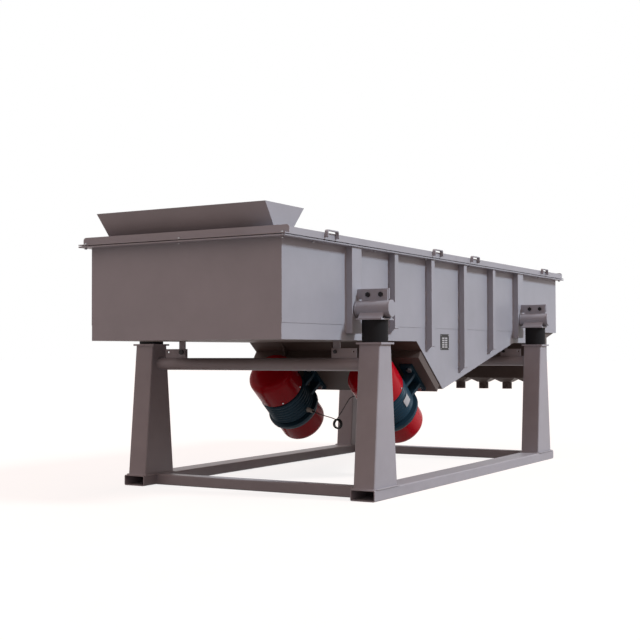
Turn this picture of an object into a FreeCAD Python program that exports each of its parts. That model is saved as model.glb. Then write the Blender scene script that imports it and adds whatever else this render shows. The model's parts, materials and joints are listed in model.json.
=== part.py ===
"""Linear vibrating sieve: a closed screen box on four rubber springs, shaken by two vibration motors.

Row frame: +X runs from the feed end to the discharge end, +Y to the left, +Z up.
The origin lies on the floor under the middle of the screen box. All sizes are millimetres.
"""
import FreeCAD, Part
import Sketcher
import math
import os
import re

DOC = FreeCAD.newDocument("VibratingSieve")
SHEET = DOC.addObject("Spreadsheet::Sheet", "Sizes")
NODES = []

# ---------------------------------------------------------------- driving dimensions
SIZES = {
    # screen box
    "box_len": 4080, "box_wid": 1200, "wall_thk": 6, "rim_low": 1332, "skirt_low": 835,
    "seam_high": 917, "lap_step": 2, "skirt_in": 360,
    "vee_start": -517, "vee_low": -141, "vee_depth": 539, "vee_end": 1104, "belly_thk": 5,
    "pan_thk": 4,
    # rim, gasket and lids
    "rim_out": 50, "rim_thk": 8, "gasket_thk": 4, "gasket_wid": 20, "lid_thk": 5,
    "lid_split": -40, "split_gap": 2, "split_bar": 60,
    "band_thk": 5, "end_band": 40, "side_band": 30, "band_back": 40, "band_corner": 14,
    "handle_wid": 116, "handle_rise": 45, "handle_bar": 6, "handle_deep": 20,
    "handle_one": -1650, "handle_two": -340, "handle_three": 250, "handle_four": 1610,
    # feed hopper
    "slot_in": 90, "slot_len": 100, "slot_half": 516, "mouth_out": 40,
    "mouth_len": 366, "mouth_half": 532, "hopper_top": 1508, "hopper_thk": 4,
    # side ribs and spring brackets
    "rib_deep": 40, "rib_wid": 46, "rib_thk": 5, "rib_first": -890, "rib_pitch": 500,
    "rib_clear": 35, "wide_rib": 108,
    "arm_thk": 10, "arm_low": 1052, "arm_high": 1108, "arm_out": 828,
    # screen deck
    "deck_low": 1085, "deck_bar": 40, "deck_end": 10, "cloth_thk": 2, "clamp_wid": 40,
    "clamp_thk": 8, "bearer_size": 60, "bearer_wall": 4, "bearer_pitch": 620,
    "outlet_high": 130, "outlet_half": 540, "lip_out": 44, "lip_drop": 26,
    # collector and its spouts
    "duct_len": 180, "duct_low": 570, "hood_drop": 39, "hood_in": 20, "duct_thk": 5,
    "spout_pitch": 195, "spout_rad": 37, "spout_wall": 3, "spout_top": 535, "spout_low": 483,
    # base frame
    "leg_feed": -1345, "leg_discharge": 1145, "base_start": -1500, "base_end": 1300,
    "base_out": 821, "base_wid": 143, "base_high": 60, "base_wall": 5, "cross_wid": 80,
    "leg_out": 809, "leg_wid": 125, "leg_foot": 268, "leg_top": 132, "leg_wall": 6,
    "leg_high": 812, "cap_size": 150, "cap_thk": 10,
    "crossbar_rad": 35, "crossbar_wall": 4, "crossbar_high": 705,
    "stop_in": 484, "stop_out": 638, "stop_high": 792, "stop_thk": 8, "stop_hole_y": 508,
    "stop_hole_z": 774, "stop_pitch": 110, "stop_gap": 5, "strap_wid": 42, "strap_thk": 8,
    "strap_low": 749, "strap_hole_rad": 12, "stop_bolt_rad": 6,
    # rubber springs and their seats
    "spring_rad": 70, "spring_high": 119, "spring_y": 747,
    "seat_thk": 8, "seat_tube_rad": 43, "seat_tube_len": 206,
    "seat_rise": 51, "cheek_out": 62, "cheek_in": 34, "cheek_high": 36, "cheek_thk": 8,
    "bolt_gap": 0.5, "lug_wid": 154, "lug_thk": 10, "lug_top": 1100,
    "lug_bolt_pitch": 76, "lug_bolt_high": 1076, "lug_bolt_rad": 8,
    # motor mount and vibration motors
    "mount_start": 90, "mount_len": 342, "mount_half": 592, "mount_deep": 55, "mount_thk": 12,
    "motor_along": 275, "motor_side": 355, "motor_rise": 180, "house_half": 105,
    "core_rad": 132, "fin_rad": 146, "fin_pitch": 40, "flange_rad": 170, "flange_thk": 25,
    "foot_len": 250, "foot_in": 92, "foot_wid": 80, "foot_thk": 20, "web_thk": 20,
    "web_pitch": 96, "foot_bolt_y": 146, "foot_bolt_x": 92, "foot_bolt_rad": 10,
    "cap_rad": 150, "cap_long": 180, "cap_wall": 4, "cap_corner": 24,
    "shaft_rad": 27, "shaft_half": 250, "rotor_rad": 62, "rotor_half": 65,
    "running_gap": 0.05, "bearing_rad": 50, "bearing_wid": 24, "bearing_at": 90,
    "stator_rad": 108, "stator_in": 67, "stator_half": 60, "stator_room": 150,
    "weight_rad": 128, "weight_thk": 26, "weight_gap": 8, "weight_at": 125,
    "gland_rad": 12, "gland_turn": 18, "gland_at": 62, "gland_out": 190, "gland_seat": 148, "seat_wid": 44, "gland_right_at": -30,
    "cable_rad": 3, "coil_rad": 24, "coil_wid": 30, "coil_x": -430, "coil_y": -5, "coil_z": 320,
}


# places that follow the ends of the screen box
TIED = {
    "skirt_end": "=box_len / 2 - skirt_in", "hood_end": "=box_len / 2 - hood_in",
    "slot_start": "=slot_in - box_len / 2", "mouth_start": "=-box_len / 2 - mouth_out",
}


def fill_sheet():
    """Writes one dimension to each row of the sheet."""
    for row, (name, value) in enumerate({**SIZES, **TIED}.items(), start=1):
        SHEET.set(f"A{row}", name)
        SHEET.set(f"B{row}", str(value))
        SHEET.setAlias(f"B{row}", name)
    DOC.recompute()


def bound(text):
    """Puts the sheet's name before each driving dimension in an expression."""
    return re.sub(r"[a-z][a-z_]+", lambda m: "Sizes." + m[0] if m[0] in SIZES or m[0] in TIED else m[0], str(text))


def number(text):
    """The value that an expression has now."""
    value = SHEET.evalExpression(bound(text))
    return float(value.Value) if hasattr(value, "Value") else float(value)


# ---------------------------------------------------------------- modelling helpers
def plane(body, role):
    """The body's own origin plane of that role."""
    return next(f for f in body.Origin.OriginFeatures if f.Role == role)


def new_body(name):
    return DOC.addObject("PartDesign::Body", name)


def new_sketch(body, role, name, lift):
    sketch = body.newObject("Sketcher::SketchObject", name)
    sketch.AttachmentSupport = [(plane(body, role), "")]
    sketch.MapMode = "FlatFace"
    sketch.setExpression("AttachmentOffset.Base.z", bound(lift))
    return sketch


def add_outline(sketch, corners):
    """Adds a closed outline of straight sides whose corners are bound to the sheet."""
    spots = [FreeCAD.Vector(number(x), number(y), 0) for x, y in corners]
    count = len(corners)
    sides = [
        sketch.addGeometry(Part.LineSegment(spots[i], spots[(i + 1) % count]), False)
        for i in range(count)
    ]
    for i in range(count):
        sketch.addConstraint(Sketcher.Constraint("Coincident", sides[i], 2, sides[(i + 1) % count], 1))
    for side, corner, spot in zip(sides, corners, spots):
        for kind, text, value in (("DistanceX", corner[0], spot.x), ("DistanceY", corner[1], spot.y)):
            index = sketch.addConstraint(Sketcher.Constraint(kind, -1, 1, side, 1, value))
            sketch.setExpression(f"Constraints[{index}]", bound(text))


def outline(body, role, name, corners, lift="0"):
    """A sketch of one closed outline on an origin plane, lifted along the plane's normal."""
    sketch = new_sketch(body, role, name, lift)
    add_outline(sketch, corners)
    return sketch


def rectangle(x_low, x_high, y_low, y_high):
    return [(x_low, y_low), (x_high, y_low), (x_high, y_high), (x_low, y_high)]


def pad(body, sketch, length, name):
    """Grows the sketch along its normal."""
    feature = body.newObject("PartDesign::Pad", name)
    feature.Profile = sketch
    feature.setExpression("Length", bound(length))
    DOC.recompute()
    return feature


def pocket(body, sketch, length, name):
    """Cuts the sketch along its normal, and stops if nothing was removed."""
    before = body.Shape.Volume
    feature = body.newObject("PartDesign::Pocket", name)
    feature.Profile = sketch
    feature.Reversed = True
    feature.setExpression("Length", bound(length))
    DOC.recompute()
    if not body.Shape.Volume < before - 1:
        raise RuntimeError(f"{name} cuts nothing")
    return feature


def repeat(body, feature, role_or_axis, length, count, name):
    """Repeats a feature in a line along the body's X, Y or Z axis."""
    pattern = body.newObject("PartDesign::LinearPattern", name)
    pattern.Originals = [feature]
    axis = next(f for f in body.Origin.OriginFeatures if f.Role == role_or_axis)
    pattern.Direction = (axis, [""])
    pattern.setExpression("Length", bound(length))
    pattern.Occurrences = count
    body.Tip = pattern
    DOC.recompute()
    return pattern


def turned(name, corners):
    """A body of revolution about its own X axis. Corners are (station along X, radius)."""
    body = new_body(name)
    sketch = outline(body, "XY_Plane", name + "_half", corners)
    turn = body.newObject("PartDesign::Revolution", name + "_turn")
    turn.Profile = sketch
    turn.ReferenceAxis = (sketch, ["H_Axis"])
    turn.Angle = 360
    DOC.recompute()
    return body


def block(name, low, high):
    """A box between two corners."""
    solid = DOC.addObject("Part::Box", name)
    for side, axis, a, b in zip(("Length", "Width", "Height"), "xyz", low, high):
        solid.setExpression(side, bound(f"({b}) - ({a})"))
        solid.setExpression(f"Placement.Base.{axis}", bound(a))
    return solid


def taper(name, low, high, z_low, z_high):
    """A four-sided taper between two level rectangles (x_low, x_high, y_low, y_high)."""
    solid = DOC.addObject("Part::Wedge", name)
    solid.Placement = FreeCAD.Placement(FreeCAD.Vector(), FreeCAD.Rotation(FreeCAD.Vector(1, 0, 0), 90))
    # the wedge grows along its own Y, and this turn stands it up with its own Z along -Y
    for part, text in (("Ymin", z_low), ("Ymax", z_high),
                       ("Xmin", low[0]), ("Xmax", low[1]), ("Zmin", f"-({low[3]})"), ("Zmax", f"-({low[2]})"),
                       ("X2min", high[0]), ("X2max", high[1]), ("Z2min", f"-({high[3]})"), ("Z2max", f"-({high[2]})")):
        solid.setExpression(part, bound(text))
    return solid


TURNS = {
    "X": FreeCAD.Rotation(FreeCAD.Vector(0, 1, 0), 90),
    "Y": FreeCAD.Rotation(FreeCAD.Vector(1, 0, 0), -90),
    "Z": FreeCAD.Rotation(),
}


def rod(name, start, axis, radius, length, sides=0):
    """A round bar, or a bar of that many sides, from start along +X, +Y or +Z."""
    solid = DOC.addObject("Part::Prism" if sides else "Part::Cylinder", name)
    if sides:
        solid.Polygon = sides
    solid.Placement = FreeCAD.Placement(FreeCAD.Vector(), TURNS[axis])
    solid.setExpression("Circumradius" if sides else "Radius", bound(radius))
    solid.setExpression("Height", bound(length))
    for axis_name, text in zip("xyz", start):
        solid.setExpression(f"Placement.Base.{axis_name}", bound(text))
    return solid


def box_tube(name, low, high, axis, wall):
    """A rectangular tube between two corners, open at both ends of the given axis (0, 1 or 2)."""
    inner_low = [f"{a} + {wall}" for a in low]
    inner_high = [f"{b} - {wall}" for b in high]
    inner_low[axis], inner_high[axis] = low[axis], high[axis]
    return cut(name, block(name + "_outside", low, high), [block(name + "_inside", inner_low, inner_high)])


def fuse(name, parts):
    whole = DOC.addObject("Part::MultiFuse", name)
    whole.Shapes = parts
    DOC.recompute()
    return whole


def cut(name, base, tools):
    """base without the tools; stops if the tools miss it."""
    DOC.recompute()
    tool = tools[0] if len(tools) == 1 else fuse(name + "_tools", tools)
    whole = DOC.addObject("Part::Cut", name)
    whole.Base = base
    whole.Tool = tool
    DOC.recompute()
    if not whole.Shape.Volume < base.Shape.Volume - 1:
        raise RuntimeError(f"{name} cuts nothing")
    return whole


def group(name, parts):
    """Separate like solids that share one node."""
    whole = DOC.addObject("Part::Compound", name)
    whole.Links = parts
    DOC.recompute()
    return whole


def node(thing, label):
    """Registers a finished sub-part under its own name."""
    thing.Label = label
    NODES.append(thing)
    return thing


def placed(thing, x, y, z):
    """Binds where a finished piece stands."""
    for axis, text in zip("xyz", (x, y, z)):
        thing.setExpression(f"Placement.Base.{axis}", bound(text))
    return thing


# The motor mount lies on the steep side of the vee. Its own X runs down that slope and its
# own Z points back into the box, square to the slope: that is the direction of the throw.
SLOPE = "atan((skirt_low - vee_depth) / (vee_low - vee_start))"


def on_slope(thing, along, side, below):
    """Places a piece made in the slope's own frame."""
    thing.Placement = FreeCAD.Placement(FreeCAD.Vector(), FreeCAD.Rotation(FreeCAD.Vector(0, 1, 0), 30))
    thing.setExpression("Placement.Rotation.Angle", bound(SLOPE))
    x = f"vee_start + ({along}) * cos({SLOPE}) - ({below}) * sin({SLOPE})"
    z = f"skirt_low - ({along}) * sin({SLOPE}) - ({below}) * cos({SLOPE})"
    return placed(thing, x, side, z)


SIDES = {"left": "1", "right": "-1"}
LEGS = {"feed": "leg_feed", "discharge": "leg_discharge"}
WALL_IN = "(box_wid / 2 - wall_thk)"
END = "(box_len / 2)"
LID_LOW = "(rim_low + rim_thk + gasket_thk)"
LID_TOP = "(rim_low + rim_thk + gasket_thk + lid_thk)"
DECK_TOP = "(deck_low + deck_bar)"


def span(sign, near, far):
    """Low and high value of a stretch that starts at near and ends at far on one side of Y = 0."""
    return (f"{near}", f"{far}") if sign == "1" else (f"-({far})", f"-({near})")


# ---------------------------------------------------------------- screen box
def side_plate(side):
    """Side wall: an upper sheet, and below the lap seam a thinner skirt that follows the vee."""
    body = new_body(f"side_plate_{side}")
    upper = rectangle(f"-{END}", END, "seam_high", "rim_low")
    skirt = [
        (f"-{END}", "skirt_low"), ("vee_start", "skirt_low"), ("vee_low", "vee_depth"),
        ("vee_end", "skirt_low"), ("skirt_end", "skirt_low"), ("skirt_end", "seam_high"),
        (f"-{END}", "seam_high"),
    ]
    # a sketch on the XZ plane grows towards -Y
    lift = "-box_wid / 2" if side == "left" else WALL_IN
    skirt_lift = f"{lift} + lap_step" if side == "left" else lift
    pad(body, outline(body, "XZ_Plane", f"upper_{side}", upper, lift), "wall_thk", f"upper_sheet_{side}")
    skirt_sketch = outline(body, "XZ_Plane", f"skirt_{side}", skirt, skirt_lift)
    pad(body, skirt_sketch, "wall_thk - lap_step", f"skirt_sheet_{side}")
    node(body, f"side_plate_{side}")


def end_walls():
    """Feed wall, and the discharge wall with the outlet for what stays on the screen."""
    feed = block("feed_wall_box", (f"-{END}", f"-{WALL_IN}", "skirt_low"),
                 (f"-{END} + wall_thk", WALL_IN, "rim_low"))
    node(feed, "feed_end_wall")
    body = new_body("discharge_wall")
    wall = outline(body, "YZ_Plane", "wall_face", rectangle(f"-{WALL_IN}", WALL_IN, "seam_high", "rim_low"),
                   f"{END} - wall_thk")
    pad(body, wall, "wall_thk", "wall_sheet")
    mouth = outline(body, "YZ_Plane", "outlet_face",
                    rectangle("-outlet_half", "outlet_half", DECK_TOP, f"{DECK_TOP} + outlet_high"),
                    f"{END} - wall_thk")
    pocket(body, mouth, "wall_thk", "outlet")
    lip = [
        (END, f"{DECK_TOP} - wall_thk"), (f"{END} + lip_out", f"{DECK_TOP} - lip_drop - wall_thk"),
        (f"{END} + lip_out", f"{DECK_TOP} - lip_drop"), (END, DECK_TOP),
    ]
    lip_sketch = outline(body, "XZ_Plane", "lip_side", lip, "-outlet_half")
    pad(body, lip_sketch, "2 * outlet_half", "outlet_lip")
    node(body, "discharge_end_wall")


def belly_plate():
    """Folded sheet that closes the box below: flat, down the steep slope, up to the flat again."""
    body = new_body("belly")
    low = [
        (f"-{END} + wall_thk", "skirt_low"), ("vee_start", "skirt_low"), ("vee_low", "vee_depth"),
        ("vee_end", "skirt_low"), ("skirt_end", "skirt_low"),
    ]
    high = [(x, f"{z} + belly_thk") for x, z in reversed(low)]
    sketch = outline(body, "XZ_Plane", "belly_side", low + high, f"-{WALL_IN}")
    pad(body, sketch, f"2 * {WALL_IN}", "belly_sheet")
    node(body, "belly_plate")


def fines_pan():
    """Floor under the screen, with the slot through which the fines drop into the collector."""
    body = new_body("pan")
    sheet = rectangle(f"-{END} + wall_thk", f"{END} - wall_thk", f"-{WALL_IN}", WALL_IN)
    pad(body, outline(body, "XY_Plane", "pan_face", sheet, "seam_high"), "pan_thk", "pan_sheet")
    slot = rectangle("skirt_end + duct_thk", "skirt_end + duct_len - duct_thk",
                     "duct_thk - 3 * spout_pitch", "3 * spout_pitch - duct_thk")
    pocket(body, outline(body, "XY_Plane", "slot_face", slot, "seam_high"), "pan_thk", "fines_slot")
    node(body, "fines_pan")


def deck():
    """Screen deck: tubes across the box, a welded frame on them, the screen cloth and its clamps."""
    bearers = []
    for step in range(-3, 4):
        at = f"{step} * bearer_pitch"
        low = (f"{at} - bearer_size / 2", f"-{WALL_IN}", "deck_low - bearer_size")
        high = (f"{at} + bearer_size / 2", WALL_IN, "deck_low")
        bearers.append(box_tube(f"bearer_{step + 3}", low, high, 1, "bearer_wall"))
    node(group("bearers", bearers), "deck_bearer_tubes")

    body = new_body("deck_frame_body")
    ends = f"({END} - wall_thk - deck_end)"
    half = f"({WALL_IN} - 4)"
    rails = rectangle(f"-{ends}", ends, f"-{half}", half)
    pad(body, outline(body, "XY_Plane", "deck_face", rails, "deck_low"), "deck_bar", "deck_rails")
    bay = f"((2 * {ends} - deck_bar) / 8)"
    window = rectangle(f"-{ends} + deck_bar", f"-{ends} + {bay}", f"-{half} + deck_bar", f"{half} - deck_bar")
    first = pocket(body, outline(body, "XY_Plane", "deck_window", window, "deck_low"), "deck_bar", "deck_bay")
    repeat(body, first, "X_Axis", f"7 * {bay}", 8, "deck_bays")
    node(body, "deck_frame")

    cloth = block("cloth_sheet", (f"-{ends}", f"-{half}", DECK_TOP), (ends, half, f"{DECK_TOP} + cloth_thk"))
    node(cloth, "screen_cloth")

    low, high = f"{DECK_TOP} + cloth_thk", f"{DECK_TOP} + cloth_thk + clamp_thk"
    bars = [block("clamp_feed", (f"-{ends}", f"clamp_wid - {half}", low),
                  (f"clamp_wid - {ends}", f"{half} - clamp_wid", high))]
    for side, sign in SIDES.items():
        y_low, y_high = span(sign, f"{half} - clamp_wid", half)
        bars.append(block(f"clamp_{side}", (f"-{ends}", y_low, low), (ends, y_high, high)))
    node(group("clamps", bars), "screen_clamp_bars")


def belly_line(x):
    """Height of the side plate's lower edge at x."""
    steep = f"skirt_low - ({x} - vee_start) * (skirt_low - vee_depth) / (vee_low - vee_start)"
    rise = f"vee_depth + ({x} - vee_low) * (skirt_low - vee_depth) / (vee_end - vee_low)"
    return f"min(skirt_low; max({steep}; {rise}))"


def side_ribs(side):
    """Four angle ribs, each mitred at its foot just above the side plate's lower edge."""
    sign = SIDES[side]
    ribs = []
    for index in range(4):
        x = f"(rib_first + {index} * rib_pitch)"
        foot = f"({belly_line(x)} + rib_clear)"
        body = new_body(f"rib_{side}_{index}")
        wall, face, inner = "box_wid / 2", "(box_wid / 2 + rib_deep)", "(box_wid / 2 + rib_deep - rib_thk)"
        section = [(x, wall), (f"{x} + rib_thk", wall), (f"{x} + rib_thk", inner),
                   (f"{x} + rib_wid", inner), (f"{x} + rib_wid", face), (x, face)]
        if side == "right":
            section = [(a, f"-({b})") for a, b in section]
        sketch = outline(body, "XY_Plane", f"section_{side}_{index}", section, foot)
        pad(body, sketch, f"rim_low - {foot}", f"angle_{side}_{index}")
        mitre = [(wall, foot), (face, foot), (face, f"{foot} + rib_deep * 0.9")]
        if side == "right":
            mitre = [(f"-{a}", b) for a, b in mitre]
        mitre_sketch = outline(body, "YZ_Plane", f"mitre_{side}_{index}", mitre, x)
        pocket(body, mitre_sketch, "rib_wid", f"foot_cut_{side}_{index}")
        ribs.append(body)
    node(group(f"ribs_{side}", ribs), f"side_ribs_{side}")


def spring_brackets(side):
    """Over each leg: a wide channel rib, and the arm that is bolted to the spring seat."""
    sign = SIDES[side]
    brackets = []
    for end, leg in LEGS.items():
        tag = f"{side}_{end}"
        y_low, y_high = span(sign, "box_wid / 2", "box_wid / 2 + rib_deep")
        in_low, in_high = span(sign, "box_wid / 2", "box_wid / 2 + rib_deep - rib_thk")
        outer = block(f"channel_{tag}", (f"{leg} - wide_rib / 2", y_low, "skirt_low + rib_clear"),
                      (f"{leg} + wide_rib / 2", y_high, "rim_low"))
        inner = block(f"channel_in_{tag}",
                      (f"{leg} - wide_rib / 2 + rib_thk", in_low, "skirt_low + rib_clear - 1"),
                      (f"{leg} + wide_rib / 2 - rib_thk", in_high, "rim_low + 1"))
        channel = cut(f"channel_rib_{tag}", outer, [inner])
        arm_low, arm_high = span(sign, "box_wid / 2 + rib_deep", "arm_out")
        arm = block(f"arm_{tag}", (f"{leg} + lug_thk / 2", arm_low, "arm_low"),
                    (f"{leg} + lug_thk / 2 + arm_thk", arm_high, "arm_high"))
        gusset = new_body(f"gusset_{tag}")
        wall, tip = "(box_wid / 2 + rib_deep)", "(arm_out - 12)"
        plan = [(f"{leg} + lug_thk / 2 + arm_thk", wall), (f"{leg} + wide_rib / 2", wall),
                (f"{leg} + lug_thk / 2 + arm_thk", tip)]
        if side == "right":
            plan = [(a, f"-{b}") for a, b in plan]
        gusset_sketch = outline(gusset, "XY_Plane", f"gusset_face_{tag}", plan, "arm_high - arm_thk")
        pad(gusset, gusset_sketch, "arm_thk", f"gusset_pad_{tag}")
        whole = fuse(f"bracket_{tag}", [channel, arm, gusset])
        holes = [
            rod(f"arm_hole_{tag}_{step}", (f"{leg}", f"{sign} * spring_y + {step} * lug_bolt_pitch / 2",
                                           "lug_bolt_high"), "X", "lug_bolt_rad + bolt_gap", "wide_rib", 8)
            for step in (-1, 1)
        ]
        brackets.append(cut(f"bracket_done_{tag}", whole, holes))
    node(group(f"brackets_{side}", brackets), f"spring_brackets_{side}")


def top_rim():
    """Flange round the top of the box, with a bar under the lids' joint."""
    body = new_body("rim")
    out_x, out_y = f"({END} + rim_out)", "(box_wid / 2 + rim_out)"
    in_x, in_y = f"({END} - wall_thk)", WALL_IN
    pad(body, outline(body, "XY_Plane", "rim_face", rectangle(f"-{out_x}", out_x, f"-{out_y}", out_y), "rim_low"),
        "rim_thk", "rim_sheet")
    bays = {"feed": (f"-{in_x}", "lid_split - split_bar / 2"), "discharge": ("lid_split + split_bar / 2", in_x)}
    for end, (x_low, x_high) in bays.items():
        window = outline(body, "XY_Plane", f"rim_window_{end}", rectangle(x_low, x_high, f"-{in_y}", in_y), "rim_low")
        pocket(body, window, "rim_thk", f"rim_opening_{end}")
    node(body, "top_rim")


def gasket():
    """Rubber strip between the rim and the lids, inside the line of the bolts."""
    body = new_body("gasket_body")
    in_x, in_y = f"({END} - wall_thk)", WALL_IN
    out_x, out_y = f"({in_x} + gasket_wid)", f"({in_y} + gasket_wid)"
    face = rectangle(f"-{out_x}", out_x, f"-{out_y}", out_y)
    pad(body, outline(body, "XY_Plane", "gasket_face", face, "rim_low + rim_thk"), "gasket_thk", "gasket_sheet")
    bays = {"feed": (f"-{in_x}", "lid_split - gasket_wid"), "discharge": ("lid_split + gasket_wid", in_x)}
    for end, (x_low, x_high) in bays.items():
        window = outline(body, "XY_Plane", f"gasket_window_{end}", rectangle(x_low, x_high, f"-{in_y}", in_y),
                         "rim_low + rim_thk")
        pocket(body, window, "gasket_thk", f"gasket_opening_{end}")
    node(body, "rim_gasket")


# ---------------------------------------------------------------- lids and hopper
def lid(end):
    """Lid sheet with an upright band along its outer edges; the end band's corners are rounded."""
    out_x, out_y = f"({END} + rim_out)", "(box_wid / 2 + rim_out)"
    sign = "-1" if end == "feed" else "1"
    x_low, x_high = (f"-{out_x}", "lid_split - split_gap / 2")
    if end == "discharge":
        x_low, x_high = ("lid_split + split_gap / 2", out_x)
    body = new_body(f"{end}_lid_body")
    face = rectangle(x_low, x_high, f"-{out_y}", out_y)
    pad(body, outline(body, "XY_Plane", f"{end}_lid_face", face, LID_LOW), "lid_thk", f"{end}_lid_sheet")
    if end == "feed":
        slot = rectangle("slot_start", "slot_start + slot_len", "-slot_half", "slot_half")
        pocket(body, outline(body, "XY_Plane", "feed_slot_face", slot, LID_LOW), "lid_thk", "feed_slot")
    at = f"{sign} * ({END} + rim_out - band_back)"
    top, run = f"({LID_TOP} + end_band)", "band_corner"
    band = [(f"-{out_y}", LID_TOP), (out_y, LID_TOP), (out_y, f"{top} - {run}"), (f"{out_y} - {run} * 0.3", f"{top} - {run} * 0.3"),
            (f"{out_y} - {run}", top), (f"-{out_y} + {run}", top), (f"-{out_y} + {run} * 0.3", f"{top} - {run} * 0.3"),
            (f"-{out_y}", f"{top} - {run}")]
    lift = at if end == "feed" else f"{at} - band_thk"
    pad(body, outline(body, "YZ_Plane", f"{end}_band_face", band, lift), "band_thk", f"{end}_end_band")
    inner_end = f"({at}) + band_thk" if end == "feed" else f"({at}) - band_thk"
    band_x = (inner_end, x_high) if end == "feed" else (x_low, inner_end)
    for side, way in SIDES.items():
        y_low, y_high = span(way, f"{out_y} - band_thk", out_y)
        strip = outline(body, "XY_Plane", f"{end}_strip_{side}", rectangle(*band_x, y_low, y_high), LID_TOP)
        pad(body, strip, "side_band", f"{end}_side_band_{side}")
    node(body, f"{end}_lid")


def lid_handles(end, places):
    """Bent strip handles, welded to the outside of the side bands."""
    handles = []
    for place in places:
        for side, way in SIDES.items():
            body = new_body(f"handle_{place}_{side}")
            low, high = f"({LID_TOP} + 4)", f"({LID_TOP} + handle_rise)"
            a, b, bar = f"({place} - handle_wid / 2)", f"({place} + handle_wid / 2)", "handle_bar"
            arch = [(a, low), (f"{a} + {bar}", low), (f"{a} + {bar}", f"{high} - 2 * {bar}"),
                    (f"{a} + 2 * {bar}", f"{high} - {bar}"), (f"{b} - 2 * {bar}", f"{high} - {bar}"),
                    (f"{b} - {bar}", f"{high} - 2 * {bar}"), (f"{b} - {bar}", low), (b, low),
                    (b, f"{high} - 1.4 * {bar}"), (f"{b} - 1.4 * {bar}", high),
                    (f"{a} + 1.4 * {bar}", high), (a, f"{high} - 1.4 * {bar}")]
            edge = "(box_wid / 2 + rim_out)"
            lift = f"-{edge} - handle_deep" if side == "left" else edge
            pad(body, outline(body, "XZ_Plane", f"arch_{place}_{side}", arch, lift), "handle_deep",
                f"strip_{place}_{side}")
            handles.append(body)
    node(group(f"{end}_handles", handles), f"{end}_lid_handles")


def hopper():
    """Flared feed hopper of sheet metal, welded round the slot in the feed lid."""
    def flare(name, grow):
        slot = (f"slot_start - hopper_thk + {grow}", f"slot_start + slot_len + hopper_thk - {grow}",
                f"{grow} - slot_half - hopper_thk", f"slot_half + hopper_thk - {grow}")
        mouth = (f"mouth_start + {grow}", f"mouth_start + mouth_len - {grow}",
                 f"{grow} - mouth_half", f"mouth_half - {grow}")
        return taper(name, slot, mouth, LID_TOP, "hopper_top")

    node(cut("hopper_shell", flare("hopper_outside", "0"), [flare("hopper_inside", "hopper_thk")]), "feed_hopper")


# ---------------------------------------------------------------- fines collector
def collector():
    """Duct across the box under the pan's slot, ending in six shallow funnels."""
    body = new_body("collector_body")
    half = "(3 * spout_pitch)"
    far = "skirt_end + duct_len"

    def side(grow):
        return [
            (f"skirt_end + {grow}", f"duct_low + {grow}"), (f"{far} - {grow}", f"duct_low + {grow}"),
            (f"{far} - {grow}", f"seam_high - hood_drop + {grow}"), (f"hood_end - 8 * {grow}", "seam_high"),
            (f"skirt_end + {grow}", "seam_high"),
        ]

    pad(body, outline(body, "XZ_Plane", "duct_side", side("0"), f"-{half}"), f"2 * {half}", "duct")
    hollow = outline(body, "XZ_Plane", "duct_inside", side("duct_thk"), f"duct_thk - {half}")
    pocket(body, hollow, f"2 * {half} - 2 * duct_thk", "duct_hollow")

    def funnel(index, grow, name):
        edge = f"({index} * spout_pitch - {half})"
        mid_x, mid_y = "(skirt_end + duct_len / 2)", f"({edge} + spout_pitch / 2)"
        reach = f"(spout_rad - {grow})"
        foot = (f"{mid_x} - {reach}", f"{mid_x} + {reach}", f"{mid_y} - {reach}", f"{mid_y} + {reach}")
        top = (f"skirt_end + {grow}", f"{far} - {grow}", f"{edge} + {grow}", f"{edge} + spout_pitch - {grow}")
        return taper(f"{name}_{index}", foot, top, "spout_top", f"duct_low + {grow}")

    whole = fuse("collector_whole", [body] + [funnel(i, "0", "funnel") for i in range(6)])
    node(cut("collector_done", whole, [funnel(i, "duct_thk", "funnel_inside") for i in range(6)]),
         "fines_collector")


def spouts():
    """Short round pipes under the funnels, for bags or hoses."""
    pipes = []
    for index in range(6):
        y = f"({index} - 2.5) * spout_pitch"
        x = "skirt_end + duct_len / 2"
        outer = rod(f"spout_outer_{index}", (x, y, "spout_low"), "Z", "spout_rad", "spout_top - spout_low")
        inner = rod(f"spout_inner_{index}", (x, y, "spout_low"), "Z", "spout_rad - spout_wall",
                    "spout_top - spout_low")
        pipes.append(cut(f"spout_{index}", outer, [inner]))
    node(group("spouts", pipes), "collector_spouts")


# ---------------------------------------------------------------- base frame
def base_tubes():
    """Two long box tubes on the floor, open at their ends, and two box tubes between them."""
    for side, sign in SIDES.items():
        y_low, y_high = span(sign, "base_out - base_wid", "base_out")
        low, high = ("base_start", y_low, "0"), ("base_end", y_high, "base_high")
        node(box_tube(f"long_tube_{side}", low, high, 0, "base_wall"), f"base_tube_{side}")
    for end, leg_at in LEGS.items():
        reach = "base_out - base_wid"
        low, high = (f"{leg_at} - cross_wid / 2", f"-({reach})", "0"), (f"{leg_at} + cross_wid / 2", reach, "base_high")
        node(box_tube(f"cross_{end}", low, high, 1, "base_wall"), f"base_cross_tube_{end}")


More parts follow.
